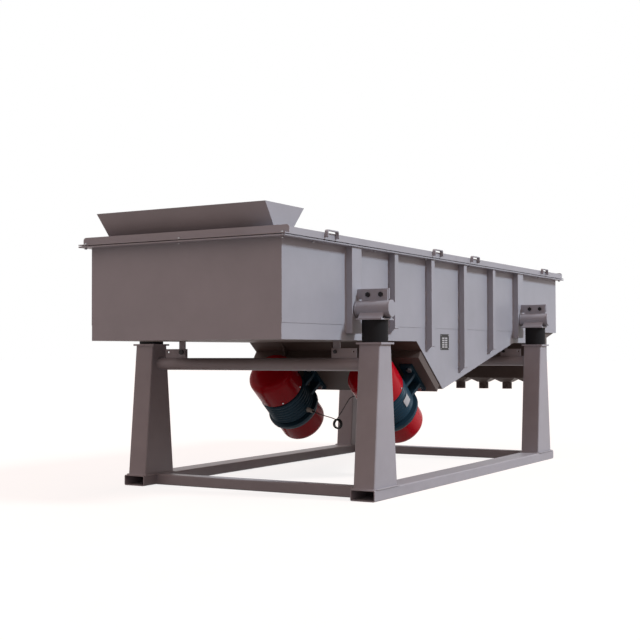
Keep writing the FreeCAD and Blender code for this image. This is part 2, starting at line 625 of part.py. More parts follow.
def leg(end, side):
    """Hollow leg, wide at its foot along X and straight across Y, with a square plate on top."""
    x, sign = LEGS[end], SIDES[side]
    tag = f"{end}_{side}"
    body = new_body(f"leg_{tag}")
    edge = "-leg_out" if side == "left" else "leg_out - leg_wid"

    def trapezoid(grow):
        return [(f"{x} - leg_foot / 2 + {grow}", "base_high"), (f"{x} + leg_foot / 2 - {grow}", "base_high"),
                (f"{x} + leg_top / 2 - {grow}", "leg_high"), (f"{x} - leg_top / 2 + {grow}", "leg_high")]

    pad(body, outline(body, "XZ_Plane", f"leg_side_{tag}", trapezoid("0"), edge), "leg_wid", f"leg_tube_{tag}")
    hollow = outline(body, "XZ_Plane", f"leg_inside_{tag}", trapezoid("leg_wall"), f"{edge} + leg_wall")
    pocket(body, hollow, "leg_wid - 2 * leg_wall", f"leg_hollow_{tag}")
    cap = rectangle(f"{x} - cap_size / 2", f"{x} + cap_size / 2",
                    f"{sign} * spring_y - cap_size / 2", f"{sign} * spring_y + cap_size / 2")
    pad(body, outline(body, "XY_Plane", f"cap_{tag}", cap, "leg_high"), "cap_thk", f"cap_plate_{tag}")
    node(body, f"leg_{tag}")


def crossbars():
    """A round tube between each pair of legs, with a drilled stop plate on it beside each leg."""
    for end, x in LEGS.items():
        reach = "leg_out - leg_wid"
        outer = rod(f"crossbar_outer_{end}", (x, f"-({reach})", "crossbar_high"), "Y", "crossbar_rad", f"2 * ({reach})")
        plates, tools = [], []
        for side, sign in SIDES.items():
            y_low, y_high = span(sign, "stop_in", "stop_out")
            plates.append(block(f"stop_plate_{end}_{side}", (f"{x} - stop_thk / 2", y_low, "crossbar_high"),
                                (f"{x} + stop_thk / 2", y_high, "stop_high")))
            for step in (0, 1):
                y = f"{sign} * (stop_hole_y + {step} * stop_pitch)"
                tools.append(rod(f"stop_hole_{end}_{side}_{step}", (f"{x} - 30", y, "stop_hole_z"), "X",
                                 "stop_bolt_rad + bolt_gap", "60", 8))
        inner = rod(f"crossbar_inner_{end}", (x, f"-({reach})", "crossbar_high"), "Y",
                    "crossbar_rad - crossbar_wall", f"2 * ({reach})")
        whole = fuse(f"crossbar_whole_{end}", [outer] + plates)
        node(cut(f"crossbar_done_{end}", whole, [inner] + tools), f"crossbar_{end}")


def travel_stops():
    """A strap hangs from the box at each leg, and a bolt through its wide hole limits the travel."""
    straps, bolts = [], []
    for end, x in LEGS.items():
        for side, sign in SIDES.items():
            tag = f"{end}_{side}"
            way = "-1" if side == "left" else "1"
            near = f"({way} * (stop_thk / 2 + stop_gap))"
            far = f"({way} * (stop_thk / 2 + stop_gap + strap_thk))"
            x_low, x_high = (far, near) if way == "-1" else (near, far)
            y = f"({sign} * stop_hole_y)"
            strap = block(f"strap_bar_{tag}", (f"{x} + {x_low}", f"{y} - strap_wid / 2", "strap_low"),
                          (f"{x} + {x_high}", f"{y} + strap_wid / 2", "skirt_low"))
            hole = rod(f"strap_hole_{tag}", (f"{x} - 60", y, "stop_hole_z"), "X", "strap_hole_rad", "120", 12)
            straps.append(cut(f"strap_{tag}", strap, [hole]))
            reach = "(stop_thk / 2 + 2 * stop_gap + strap_thk)"
            shank_low = f"-{reach}" if way == "-1" else "-stop_thk / 2"
            head_low = f"-{reach} - 8" if way == "-1" else reach
            nut_low = "stop_thk / 2" if way == "-1" else "-stop_thk / 2 - 10"
            shank = rod(f"stop_shank_{tag}", (f"{x} + {shank_low}", y, "stop_hole_z"), "X", "stop_bolt_rad",
                        f"{reach} + stop_thk / 2", 8)
            head = rod(f"stop_head_{tag}", (f"{x} + {head_low}", y, "stop_hole_z"), "X", "2.6 * stop_bolt_rad", "8", 6)
            nut = rod(f"stop_nut_{tag}", (f"{x} + {nut_low}", y, "stop_hole_z"), "X", "1.8 * stop_bolt_rad", "10", 6)
            bolts.append(fuse(f"stop_bolt_{tag}", [shank, head, nut]))
    node(group("straps", straps), "travel_stop_straps")
    node(group("stop_bolts", bolts), "travel_stop_bolts")


# ---------------------------------------------------------------- springs and their seats
SEAT = "(leg_high + cap_thk + spring_high)"


def rubber_springs(end):
    """Two rubber cylinders, one on each leg's top plate."""
    pair = [rod(f"rubber_{end}_{side}", (LEGS[end], f"{sign} * spring_y", "leg_high + cap_thk"), "Z",
                "spring_rad", "spring_high") for side, sign in SIDES.items()]
    node(group(f"springs_{end}", pair), f"rubber_springs_{end}")


def spring_seat(end, side):
    """Welded seat on a spring: plate, two leaning cheeks, a closed tube and the upright lug."""
    x, y = LEGS[end], f"({SIDES[side]} * spring_y)"
    tag = f"{end}_{side}"
    axis = f"({SEAT} + seat_thk + seat_rise)"
    plate = block(f"seat_plate_{tag}", (f"{x} - cap_size / 2", f"{y} - cap_size / 2", SEAT),
                  (f"{x} + cap_size / 2", f"{y} + cap_size / 2", f"{SEAT} + seat_thk"))
    cheeks = []
    low, high = f"({SEAT} + seat_thk)", f"({SEAT} + seat_thk + cheek_high)"
    for way, name in (("-1", "a"), ("1", "b")):
        slant = [(f"{x} + {way} * cheek_out", low), (f"{x} + {way} * (cheek_out - cheek_thk * 1.2)", low),
                 (f"{x} + {way} * (cheek_in - cheek_thk * 1.2)", high), (f"{x} + {way} * cheek_in", high)]
        body = new_body(f"cheek_{tag}_{name}")
        sketch = outline(body, "XZ_Plane", f"cheek_side_{tag}_{name}", slant, f"-{y} - cap_size / 2 + 5")
        pad(body, sketch, "cap_size - 10", f"cheek_sheet_{tag}_{name}")
        cheeks.append(body)
    tube = rod(f"seat_tube_{tag}", (x, f"{y} - seat_tube_len / 2", axis), "Y", "seat_tube_rad", "seat_tube_len")
    lug = block(f"lug_{tag}", (f"{x} - lug_thk / 2", f"{y} - lug_wid / 2", axis),
                (f"{x} + lug_thk / 2", f"{y} + lug_wid / 2", "lug_top"))
    whole = fuse(f"seat_whole_{tag}", [plate, *cheeks, tube, lug])
    holes = [rod(f"lug_hole_{tag}_{step}", (f"{x} - 30", f"{y} + {step} * lug_bolt_pitch / 2", "lug_bolt_high"),
                 "X", "lug_bolt_rad + bolt_gap", "60", 8) for step in (-1, 1)]
    return cut(f"seat_{tag}", whole, holes)


def seat_bolts():
    """Two hexagon bolts and nuts join each lug to its bracket."""
    bolts = []
    for end, x in LEGS.items():
        for side, sign in SIDES.items():
            for step in (-1, 1):
                tag = f"{end}_{side}_{step + 1}"
                y, z = f"{sign} * spring_y + {step} * lug_bolt_pitch / 2", "lug_bolt_high"
                head = rod(f"lug_head_{tag}", (f"{x} - lug_thk / 2 - 10", y, z), "X", "1.7 * lug_bolt_rad", "10", 6)
                shank = rod(f"lug_shank_{tag}", (f"{x} - lug_thk / 2", y, z), "X", "lug_bolt_rad",
                            "lug_thk + arm_thk + 16", 8)
                nut = rod(f"lug_nut_{tag}", (f"{x} + lug_thk / 2 + arm_thk", y, z), "X", "1.7 * lug_bolt_rad", "13", 6)
                bolts.append(fuse(f"lug_bolt_{tag}", [head, shank, nut]))
    node(group("lug_bolts", bolts), "seat_bolts")


# ---------------------------------------------------------------- motor mount and motors
def motor_mount():
    """Tray-shaped girder on the vee's steep side: thick mounting face, ribs behind it, three webs above."""
    body = new_body("mount")
    face = rectangle("mount_start", "mount_start + mount_len", "-mount_half", "mount_half")
    pad(body, outline(body, "XY_Plane", "mount_face", face, "-mount_deep"), "mount_deep", "mount_block")
    bay = "((2 * mount_half - 10) / 6)"
    window = rectangle("mount_start + 10", "mount_start + mount_len - 10", "10 - mount_half", f"{bay} - mount_half")
    first = pocket(body, outline(body, "XY_Plane", "mount_window", window, "mount_thk - mount_deep"),
                   "mount_deep - mount_thk", "mount_bay")
    repeat(body, first, "Y_Axis", f"5 * {bay}", 6, "mount_bays")
    for name, y in (("left", "motor_side"), ("middle", "0"), ("right", "-motor_side")):
        web = [("15", "0"), ("mount_start", "0"), ("mount_start", "-mount_deep + 4"), ("40", "-12"), ("15", "-6")]
        sketch = outline(body, "XZ_Plane", f"web_{name}", web, f"-({y}) - 5")
        pad(body, sketch, "10", f"web_sheet_{name}")
    on_slope(body, "0", "0", "0")
    node(body, "motor_mount")


MOTORS = {"left": "motor_side", "right": "-motor_side"}


def on_motor(thing, side):
    """Places a piece made round a motor's own axis, with the mount above it."""
    return on_slope(thing, "motor_along", MOTORS[side], "mount_deep + motor_rise")


def housing(side):
    """Cast motor housing: cooling ridges round the barrel, a wide flange at the lower end, webbed feet."""
    half = "house_half"
    profile = [(f"-{half}", "0"), (f"-{half}", "fin_rad + 3")]
    for index in range(4):
        at = f"(18 - {half} + {index} * fin_pitch)"
        profile += [(at, "core_rad"), (f"{at} + fin_pitch / 2", "fin_rad")]
    profile += [(f"{half} - flange_thk", "core_rad"), (f"{half} - flange_thk + 6", "flange_rad"), (half, "flange_rad"),
                (half, "0")]
    parts = [turned(f"barrel_{side}", profile)]
    low = "motor_rise - foot_thk"
    for way, name in (("1", "a"), ("-1", "b")):
        y_low, y_high = span(way, "foot_in", "foot_in + foot_wid")
        parts.append(block(f"foot_{side}_{name}", ("-foot_len / 2", y_low, low), ("foot_len / 2", y_high, "motor_rise")))
        for step, end in (("-1", "upper"), ("1", "lower")):
            web = new_body(f"foot_web_{side}_{name}_{end}")
            shape = [("foot_in + 6", low), ("foot_in + foot_wid - 4", low), ("foot_in + foot_wid - 14", f"{low} - 40"),
                     ("core_rad * 0.95", "core_rad * 0.3"), ("core_rad * 0.75", "core_rad * 0.5")]
            if way == "-1":
                shape = [(f"-({a})", b) for a, b in shape]
            at = f"{step} * web_pitch / 2 - web_thk / 2"
            pad(web, outline(web, "YZ_Plane", f"web_face_{side}_{name}_{end}", shape, at), "web_thk",
                f"web_pad_{side}_{name}_{end}")
            parts.append(web)
    seat = block(f"gland_seat_{side}", ("core_rad - 12", "-seat_wid / 2", "-seat_wid / 2"),
                 ("gland_seat", "seat_wid / 2", "seat_wid / 2"))
    parts.append(pointed_inwards(group(f"gland_seat_way_{side}", [seat]), side, f"gland_seat_at_{side}"))
    whole = fuse(f"housing_whole_{side}", parts)
    tools = [rod(f"stator_room_{side}", ("-stator_room / 2", "0", "0"), "X", "stator_rad", "stator_room", 12),
             rod(f"bearing_seats_{side}", (f"-{half}", "0", "0"), "X", "bearing_rad", f"2 * {half}")]
    for across in ("1", "-1"):
        for step in ("-1", "1"):
            tools.append(rod(f"foot_hole_{side}_{len(tools)}",
                             (f"{step} * foot_bolt_x", f"{across} * foot_bolt_y", f"{low} - 1"), "Z",
                             "foot_bolt_rad + bolt_gap", "foot_thk + 2", 8))
    return on_motor(cut(f"housing_{side}", whole, tools), side)


def end_cap(side, way):
    """Drawn steel cap over the eccentric weights at one end of a motor."""
    start, end, wall = "house_half", "(house_half + cap_long)", "cap_wall"
    profile = [(start, f"cap_rad - {wall}"), (start, "cap_rad"), (f"{end} - cap_corner", "cap_rad"),
               (end, "cap_rad - cap_corner"), (end, "0"), (f"{end} - {wall}", "0"),
               (f"{end} - {wall}", f"cap_rad - cap_corner - {wall}"), (f"{end} - cap_corner - {wall}", f"cap_rad - {wall}")]
    if way == "-1":
        profile = [(f"-({a})", b) for a, b in profile]
    return on_motor(turned(f"cap_{side}_{'lower' if way == '1' else 'upper'}", profile), side)


def stator(side):
    """Laminated stack with twelve flats outside, round which the housing is cast."""
    stack = rod(f"stack_{side}", ("-stator_half", "0", "0"), "X", "stator_rad", "2 * stator_half", 12)
    bore = rod(f"stack_bore_{side}", ("-stator_half", "0", "0"), "X", "stator_in", "2 * stator_half", 12)
    return on_motor(cut(f"stator_{side}", stack, [bore]), side)


def bearings(side):
    """The two bearings that carry the rotor."""
    rings = []
    for way, name in (("1", "lower"), ("-1", "upper")):
        mid, half = f"{way} * bearing_at", "bearing_wid / 2"
        rings.append(turned(f"bearing_{name}_{side}",
                            rectangle(f"{mid} - {half}", f"{mid} + {half}", "shaft_rad + running_gap", "bearing_rad")))
    return on_motor(group(f"bearings_{side}", rings), side)


def rotor(side):
    """Rotor: the laminated core on its shaft, and two eccentric weights at each end of it."""
    profile = [("-shaft_half", "0"), ("-shaft_half", "shaft_rad"), ("-rotor_half", "shaft_rad"),
               ("-rotor_half", "rotor_rad"), ("rotor_half", "rotor_rad"), ("rotor_half", "shaft_rad"),
               ("shaft_half", "shaft_rad"), ("shaft_half", "0")]
    node(on_motor(turned(f"shaft_{side}", profile), side), f"rotor_shaft_{side}")
    weights = []
    reach, hub = "weight_rad", "(shaft_rad + 14)"
    fan = [(f"-{hub}", f"{hub} * 0.7"), (f"-{hub}", "0"), (f"-{reach} * 0.97", f"-{reach} * 0.24"),
           (f"-{reach} * 0.77", f"-{reach} * 0.63"), (f"-{reach} * 0.42", f"-{reach} * 0.9"), ("0", f"-{reach}"),
           (f"{reach} * 0.42", f"-{reach} * 0.9"), (f"{reach} * 0.77", f"-{reach} * 0.63"),
           (f"{reach} * 0.97", f"-{reach} * 0.24"), (hub, "0"), (hub, f"{hub} * 0.7"),
           (f"{hub} * 0.7", hub), (f"-{hub} * 0.7", hub)]
    for way, name in (("1", "lower"), ("-1", "upper")):
        for index in range(2):
            tag = f"{name}_{index}_{side}"
            first = f"(weight_at + {index} * (weight_thk + weight_gap))"
            start = first if way == "1" else f"(-{first} - weight_thk)"
            body = new_body(f"fan_{tag}")
            pad(body, outline(body, "YZ_Plane", f"fan_face_{tag}", fan, start), "weight_thk", f"fan_plate_{tag}")
            bore = rod(f"fan_bore_{tag}", (f"{start} - 1", "0", "0"), "X", "shaft_rad", "weight_thk + 2")
            weights.append(cut(f"weight_{tag}", body, [bore]))
    node(on_motor(group(f"weights_{side}", weights), side), f"eccentric_weights_{side}")


def motors():
    """The pieces of both motors; like pieces share a node, and each rotor has nodes of its own."""
    node(group("housings", [housing(side) for side in SIDES]), "motor_housings")
    for way, name in (("-1", "upper"), ("1", "lower")):
        node(group(f"caps_{name}", [end_cap(side, way) for side in SIDES]), f"motor_caps_{name}")
    node(group("stators", [stator(side) for side in SIDES]), "motor_stators")
    node(group("all_bearings", [bearings(side) for side in SIDES]), "motor_bearings")
    for side in SIDES:
        rotor(side)


def motor_fasteners():
    """Foot bolts from below through the feet into the mount, and one cable gland on each motor."""
    bolts, glands = [], []
    for side in SIDES:
        four = []
        for across in ("1", "-1"):
            for step in ("-1", "1"):
                tag = f"{side}_{len(four)}"
                spot = (f"{step} * foot_bolt_x", f"{across} * foot_bolt_y")
                head = rod(f"foot_head_{tag}", (*spot, "motor_rise - foot_thk - 13"), "Z", "1.7 * foot_bolt_rad", "13", 6)
                shank = rod(f"foot_shank_{tag}", (*spot, "motor_rise - foot_thk"), "Z", "foot_bolt_rad", "foot_thk", 8)
                four.append(fuse(f"foot_bolt_{tag}", [head, shank]))
        bolts.append(on_motor(group(f"foot_bolts_{side}", four), side))
        way = "-1" if side == "left" else "1"
        base = rod(f"gland_base_{side}", ("gland_seat", "0", "0"), "X", "gland_rad + 5", "12", 6)
        tube = rod(f"gland_tube_{side}", ("gland_seat", "0", "0"), "X", "gland_rad", "gland_out - gland_seat")
        nose = fuse(f"gland_{side}", [base, tube])
        glands.append(on_motor(pointed_inwards(nose, side, f"gland_at_{side}"), side))
    node(group("all_foot_bolts", bolts), "motor_foot_bolts")
    node(group("all_glands", glands), "motor_glands")


def pointed_inwards(nose, side, name):
    """Turns a gland from the motor's axis towards the machine's middle; the left one dips a little."""
    way = -90 if side == "left" else 90
    dip = number("gland_turn") if side == "left" else 0
    nose.Placement = FreeCAD.Placement(
        FreeCAD.Vector(),
        FreeCAD.Rotation(FreeCAD.Vector(1, 0, 0), dip).multiply(FreeCAD.Rotation(FreeCAD.Vector(0, 0, 1), way)),
    )
    nose.setExpression("Placement.Base.x", bound("gland_at" if side == "left" else "gland_right_at"))
    return group(name, [nose])


# The cable hangs from gland to gland with its spare length wound into a small coil between them.
CABLE_LEFT = [(-433.9, 174.3, 395.8), (-440, 127, 381.5), (-441, 70, 367), (-442, 22, 357), (-442, -13.2, 342.6)]
CABLE_RIGHT = [(-418, 14.7, 333.8), (-421, -12, 372), (-431, -50, 418), (-450, -88, 462), (-468, -124, 497),
               (-469.9, -165, 498.8)]


def cable(side, points):
    """A round cable along straight runs that are joined by tangent arcs."""
    spots = [FreeCAD.Vector(*point) for point in points]
    edges, start, radii = [], spots[0], []
    for before, corner, after in zip(spots, spots[1:], spots[2:]):
        one, two = (corner - before), (after - corner)
        run = min(one.Length, two.Length)
        one.normalize()
        two.normalize()
        turn = one.getAngle(two)
        back = 0.45 * run
        radii.append(back / math.tan(turn / 2))
        first, last = corner - one * back, corner + two * back
        bulge = (two - one).normalize() * (radii[-1] * (1 / math.cos(turn / 2) - 1))
        edges.append(Part.makeLine(start, first))
        edges.append(Part.Arc(first, corner + bulge, last).toShape())
        start = last
    edges.append(Part.makeLine(start, spots[-1]))
    path = Part.Wire(edges)
    section = math.pi * number("cable_rad") ** 2
    # eight flats, drawn so that their area is the round section's
    corner = math.sqrt(section / (2 * math.sqrt(2)))
    ring = Part.makePolygon([FreeCAD.Vector(corner * math.cos(i * math.pi / 4), corner * math.sin(i * math.pi / 4), 0)
                             for i in range(9)])
    ring.Placement = FreeCAD.Placement(spots[0], FreeCAD.Rotation(FreeCAD.Vector(0, 0, 1), spots[1] - spots[0]))
    tube = path.makePipeShell([ring], True, True)
    full = section * path.Length
    if abs(tube.Volume - full) > 0.02 * full:
        raise RuntimeError(f"the {side} cable's volume is {tube.Volume}, not {full}")
    print(f"{side} cable: {path.Length:.0f} mm, bends of {min(radii):.0f} mm and more")
    piece = DOC.addObject("Part::Feature", f"cable_{side}")
    piece.Shape = tube
    node(piece, f"motor_cable_{side}")


def cable_coil():
    """Outer shape of the wound length between the motors."""
    outer = rod("coil_outside", ("-coil_wid / 2", "0", "0"), "X", "coil_rad + cable_rad", "coil_wid", 16)
    inner = rod("coil_inside", ("-coil_wid / 2", "0", "0"), "X", "coil_rad - cable_rad", "coil_wid", 16)
    ring = cut("coil_ring", outer, [inner])
    node(placed(ring, "coil_x", "coil_y", "coil_z"), "motor_cable_coil")


# ---------------------------------------------------------------- the whole machine
def build():
    fill_sheet()
    for side in SIDES:
        side_plate(side)
    end_walls()
    belly_plate()
    fines_pan()
    deck()
    for side in SIDES:
        side_ribs(side)
        spring_brackets(side)
    top_rim()
    gasket()
    lid("feed")
    lid_handles("feed", ("handle_one", "handle_two"))
    lid("discharge")
    lid_handles("discharge", ("handle_three", "handle_four"))
    hopper()
    collector()
    spouts()
    base_tubes()
    for end in LEGS:
        for side in SIDES:
            leg(end, side)
        rubber_springs(end)
        seats = [spring_seat(end, side) for side in SIDES]
        node(group(f"seats_{end}", seats), f"spring_seats_{end}")
    crossbars()
    travel_stops()
    seat_bolts()
    motor_mount()
    motors()
    motor_fasteners()
    cable("left", CABLE_LEFT)
    cable_coil()
    cable("right", CABLE_RIGHT)


def export():
    """Checks every object and writes one STEP file for each node."""
    DOC.recompute()
    failed = [o.Name for o in DOC.Objects if "Invalid" in o.State or "Error" in o.State]
    if failed:
        raise RuntimeError(f"failed objects: {failed}")
    for thing in NODES:
        if thing.Shape.isNull() or not thing.Shape.isValid():
            raise RuntimeError(f"{thing.Label} has no valid shape")
    os.makedirs("parts", exist_ok=True)
    for thing in NODES:
        thing.Shape.exportStep(f"parts/{thing.Label}.step")
    print(len(NODES), "nodes written")


build()
export()
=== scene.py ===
# %% [markdown]
# # A linear vibrating sieve, dressed for a plain studio picture
# The real machine is a welded steel box on four rubber springs. Two vibration motors turn opposite ways
# under it and shake it along a slope, so that powder walks over the screen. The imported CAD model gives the
# bodies, joints and places. This notebook adds what a CAD source leaves out: paint, rubber and bare metal,
# rolled corners, lid screws, drawn motor caps, fine cooling ridges, weld beads and the loose motor cable.

import json
from math import cos, pi, radians, sin, tau

import bmesh
import bpy
import numpy as np
from mathutils import Matrix, Vector

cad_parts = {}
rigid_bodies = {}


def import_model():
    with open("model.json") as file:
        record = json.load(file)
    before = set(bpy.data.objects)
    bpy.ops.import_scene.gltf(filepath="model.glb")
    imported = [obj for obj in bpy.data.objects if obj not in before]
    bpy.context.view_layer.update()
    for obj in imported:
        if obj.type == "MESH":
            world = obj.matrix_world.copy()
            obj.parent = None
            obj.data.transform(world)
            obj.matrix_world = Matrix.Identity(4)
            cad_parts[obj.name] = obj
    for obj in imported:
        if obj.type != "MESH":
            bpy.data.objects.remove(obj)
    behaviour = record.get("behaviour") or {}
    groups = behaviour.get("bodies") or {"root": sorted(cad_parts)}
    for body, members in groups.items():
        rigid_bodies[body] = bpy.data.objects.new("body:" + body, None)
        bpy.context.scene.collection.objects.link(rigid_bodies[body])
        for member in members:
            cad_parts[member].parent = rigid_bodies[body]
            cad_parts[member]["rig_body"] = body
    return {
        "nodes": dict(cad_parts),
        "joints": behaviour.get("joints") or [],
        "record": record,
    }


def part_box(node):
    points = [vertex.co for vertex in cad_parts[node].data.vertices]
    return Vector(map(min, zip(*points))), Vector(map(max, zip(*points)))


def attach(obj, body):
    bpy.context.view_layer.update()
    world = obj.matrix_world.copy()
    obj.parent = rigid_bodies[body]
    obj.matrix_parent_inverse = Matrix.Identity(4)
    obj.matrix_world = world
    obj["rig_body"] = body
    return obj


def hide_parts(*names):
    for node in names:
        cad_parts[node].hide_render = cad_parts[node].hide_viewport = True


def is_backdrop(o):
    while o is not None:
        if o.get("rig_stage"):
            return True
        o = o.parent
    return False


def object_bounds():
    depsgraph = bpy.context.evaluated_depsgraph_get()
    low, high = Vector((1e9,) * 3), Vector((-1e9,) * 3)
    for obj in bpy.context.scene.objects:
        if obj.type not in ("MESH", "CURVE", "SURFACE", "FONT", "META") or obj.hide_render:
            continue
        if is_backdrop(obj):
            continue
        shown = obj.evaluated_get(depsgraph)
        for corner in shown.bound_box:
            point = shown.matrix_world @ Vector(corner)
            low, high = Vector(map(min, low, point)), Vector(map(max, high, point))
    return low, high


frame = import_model()
NODES = frame["nodes"]
SLOT_OF = {part["node"]: part["material_slot"] for part in frame["record"]["subparts"]}
JOINTS = {joint["name"]: joint for joint in frame["joints"]}
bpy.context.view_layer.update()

# %% [markdown]
# ## Camera
# A person's eye beside the feed end: about eight metres away and a little below the lids, so both the feed
# end and one long side show. A camera on a tripod with a portrait lens gives the same view, and hardly
# any convergence of the uprights.

# %% camera
MM = 0.001
EYE = Vector((-6.768, -3.556, 0.7706))
HEADING, PITCH, ROLL = radians(30.113), radians(1.605), radians(-0.165)
LENS = 64.87  # focal length in millimetres

gaze = Vector((cos(PITCH) * cos(HEADING), cos(PITCH) * sin(HEADING), sin(PITCH)))
camera = bpy.data.objects.new("camera", bpy.data.cameras.new("camera"))
camera.data.lens = LENS
camera.data.clip_end = 300
camera.matrix_world = (
    Matrix.Translation(EYE) @ gaze.to_track_quat("-Z", "Y").to_matrix().to_4x4() @ Matrix.Rotation(ROLL, 4, "Z")
)
bpy.context.scene.collection.objects.link(camera)
bpy.context.scene.camera = camera
print("camera looks along", [round(v, 4) for v in gaze])

# %% [markdown]
# ## Shader helpers
# Each finish is a small procedural network read from object coordinates, in metres, because every piece
# keeps its place in its mesh. That way a pattern has its true size and never slides when the piece moves.


# %% colour and node helpers
def linear(code):
    """Linear colour, with alpha 1, of an sRGB hex code such as '8A8F94'."""
    parts = [int(code[i : i + 2], 16) / 255 for i in (0, 2, 4)]
    return [*(p / 12.92 if p <= 0.04045 else ((p + 0.055) / 1.055) ** 2.4 for p in parts), 1]


def add(tree, kind, settings, links=None):
    """Adds a shader node. A setting is a property or an input's value, and a link feeds an input."""
    node = tree.nodes.new(kind)
    for key, value in settings.items():
        if isinstance(key, str) and hasattr(node, key):
            setattr(node, key, value)
        else:
            node.inputs[key].default_value = value
    for key, source in (links or {}).items():
        tree.links.new(source, node.inputs[key])
    return node


DUST = "A8A39A"


def blank(name):
    """A material with an empty node tree: the material, its tree and the object coordinates."""
    material = bpy.data.materials.new(name)
    material.use_nodes = True
    material.node_tree.nodes.clear()
    place = add(material.node_tree, "ShaderNodeTexCoord", {}).outputs["Object"]
    return material, material.node_tree, place


def finish(name, code, rough, metal=0.0, cloud_mm=260, cloud=0.06, grain_mm=9, depth_mm=0.06, stretch=(1, 1, 1),
           coat=0.0, dust=0.0, shine=0.3):
    """A finish: a base colour with wide soft clouds, a fine grain in relief and gloss, and dust where it lies.

    Colour = base x (1 - cloud .. 1 + cloud) by a noise of cloud_mm. Roughness follows the same noise. The
    grain is a noise of grain_mm, stretched along the axes, with a relief of depth_mm. Dust covers faces
    that look up, as far as the dust value says.
    """
    material, tree, place = blank(name)
    clouds = add(tree, "ShaderNodeTexNoise", {"Scale": 1000 / cloud_mm, "Detail": 9.0, "Roughness": 0.62},
                 {"Vector": place}).outputs[0]
    stretched = add(tree, "ShaderNodeMapping", {"Scale": stretch}, {"Vector": place}).outputs[0]
    grain = add(tree, "ShaderNodeTexNoise", {"Scale": 1000 / grain_mm, "Detail": 3.0}, {"Vector": stretched}).outputs[0]
    base = linear(code)
    dark = [c * (1 - cloud * 1.6) for c in base[:3]] + [1]
    light = [min(1, c * (1 + cloud * 1.6)) for c in base[:3]] + [1]
    colour = add(tree, "ShaderNodeMix", {"data_type": "RGBA", 6: dark, 7: light}, {0: clouds}).outputs[2]
    if dust:
        normal = add(tree, "ShaderNodeNewGeometry", {}).outputs["Normal"]
        upward = add(tree, "ShaderNodeSeparateXYZ", {}, {0: normal}).outputs["Z"]
        lying = add(tree, "ShaderNodeMath", {"operation": "MULTIPLY", "use_clamp": True}, {0: upward, 1: clouds})
        share = add(tree, "ShaderNodeMath", {"operation": "MULTIPLY", 1: dust}, {0: lying.outputs[0]}).outputs[0]
        colour = add(tree, "ShaderNodeMix", {"data_type": "RGBA", 7: linear(DUST)},
                     {0: share, 6: colour}).outputs[2]
    gloss = add(tree, "ShaderNodeMapRange", {"To Min": max(0.05, rough - 0.07), "To Max": min(1, rough + 0.07)},
                {"Value": clouds}).outputs[0]
    relief = add(tree, "ShaderNodeBump", {"Strength": 0.5, "Distance": depth_mm * MM}, {"Height": grain}).outputs[0]
    shader = add(tree, "ShaderNodeBsdfPrincipled",
                 {"Metallic": metal, "Coat Weight": coat, "Coat Roughness": 0.12, "Specular IOR Level": shine},
                 {"Base Color": colour, "Roughness": gloss, "Normal": relief})
    add(tree, "ShaderNodeOutputMaterial", {}, {"Surface": shader.outputs[0]})
    return material


def woven(name, wire, gap, pitch_mm):
    """Woven wire: two sets of bands across each other, wires in relief over dark gaps."""
    material, tree, place = blank(name)
    # one band of a wave texture is 1 / (3.18 x scale) of a metre
    bands = [add(tree, "ShaderNodeTexWave", {"bands_direction": way, "Scale": 1000 / (3.18 * pitch_mm)},
                 {"Vector": place}).outputs[0] for way in "XY"]
    top = add(tree, "ShaderNodeMath", {"operation": "MAXIMUM"}, {0: bands[0], 1: bands[1]}).outputs[0]
    share = add(tree, "ShaderNodeMapRange", {"From Min": 0.55, "From Max": 0.8}, {"Value": top}).outputs[0]
    colour = add(tree, "ShaderNodeMix", {"data_type": "RGBA", 6: linear(gap), 7: linear(wire)}, {0: share}).outputs[2]
    relief = add(tree, "ShaderNodeBump", {"Strength": 0.6, "Distance": 0.4 * MM}, {"Height": top}).outputs[0]
    shader = add(tree, "ShaderNodeBsdfPrincipled", {"Metallic": 0.9, "Roughness": 0.38},
                 {"Base Color": colour, "Normal": relief})
    add(tree, "ShaderNodeOutputMaterial", {}, {"Surface": shader.outputs[0]})
    return material


print("helpers ready")

# %% [markdown]
# ## Finishes
# The box and frame are sprayed with grey enamel over mill scale, which leaves soft clouds and a fine
# orange peel. The motors are cast and painted dark, and their drawn caps are red gloss. The springs are
# moulded rubber and the gasket is sponge rubber. The lids' screws are zinc plated, and the bolts under load
# have black oxide. The deck parts are bare stainless steel. Grains finer than the picture can show are made
# a little coarser than life.

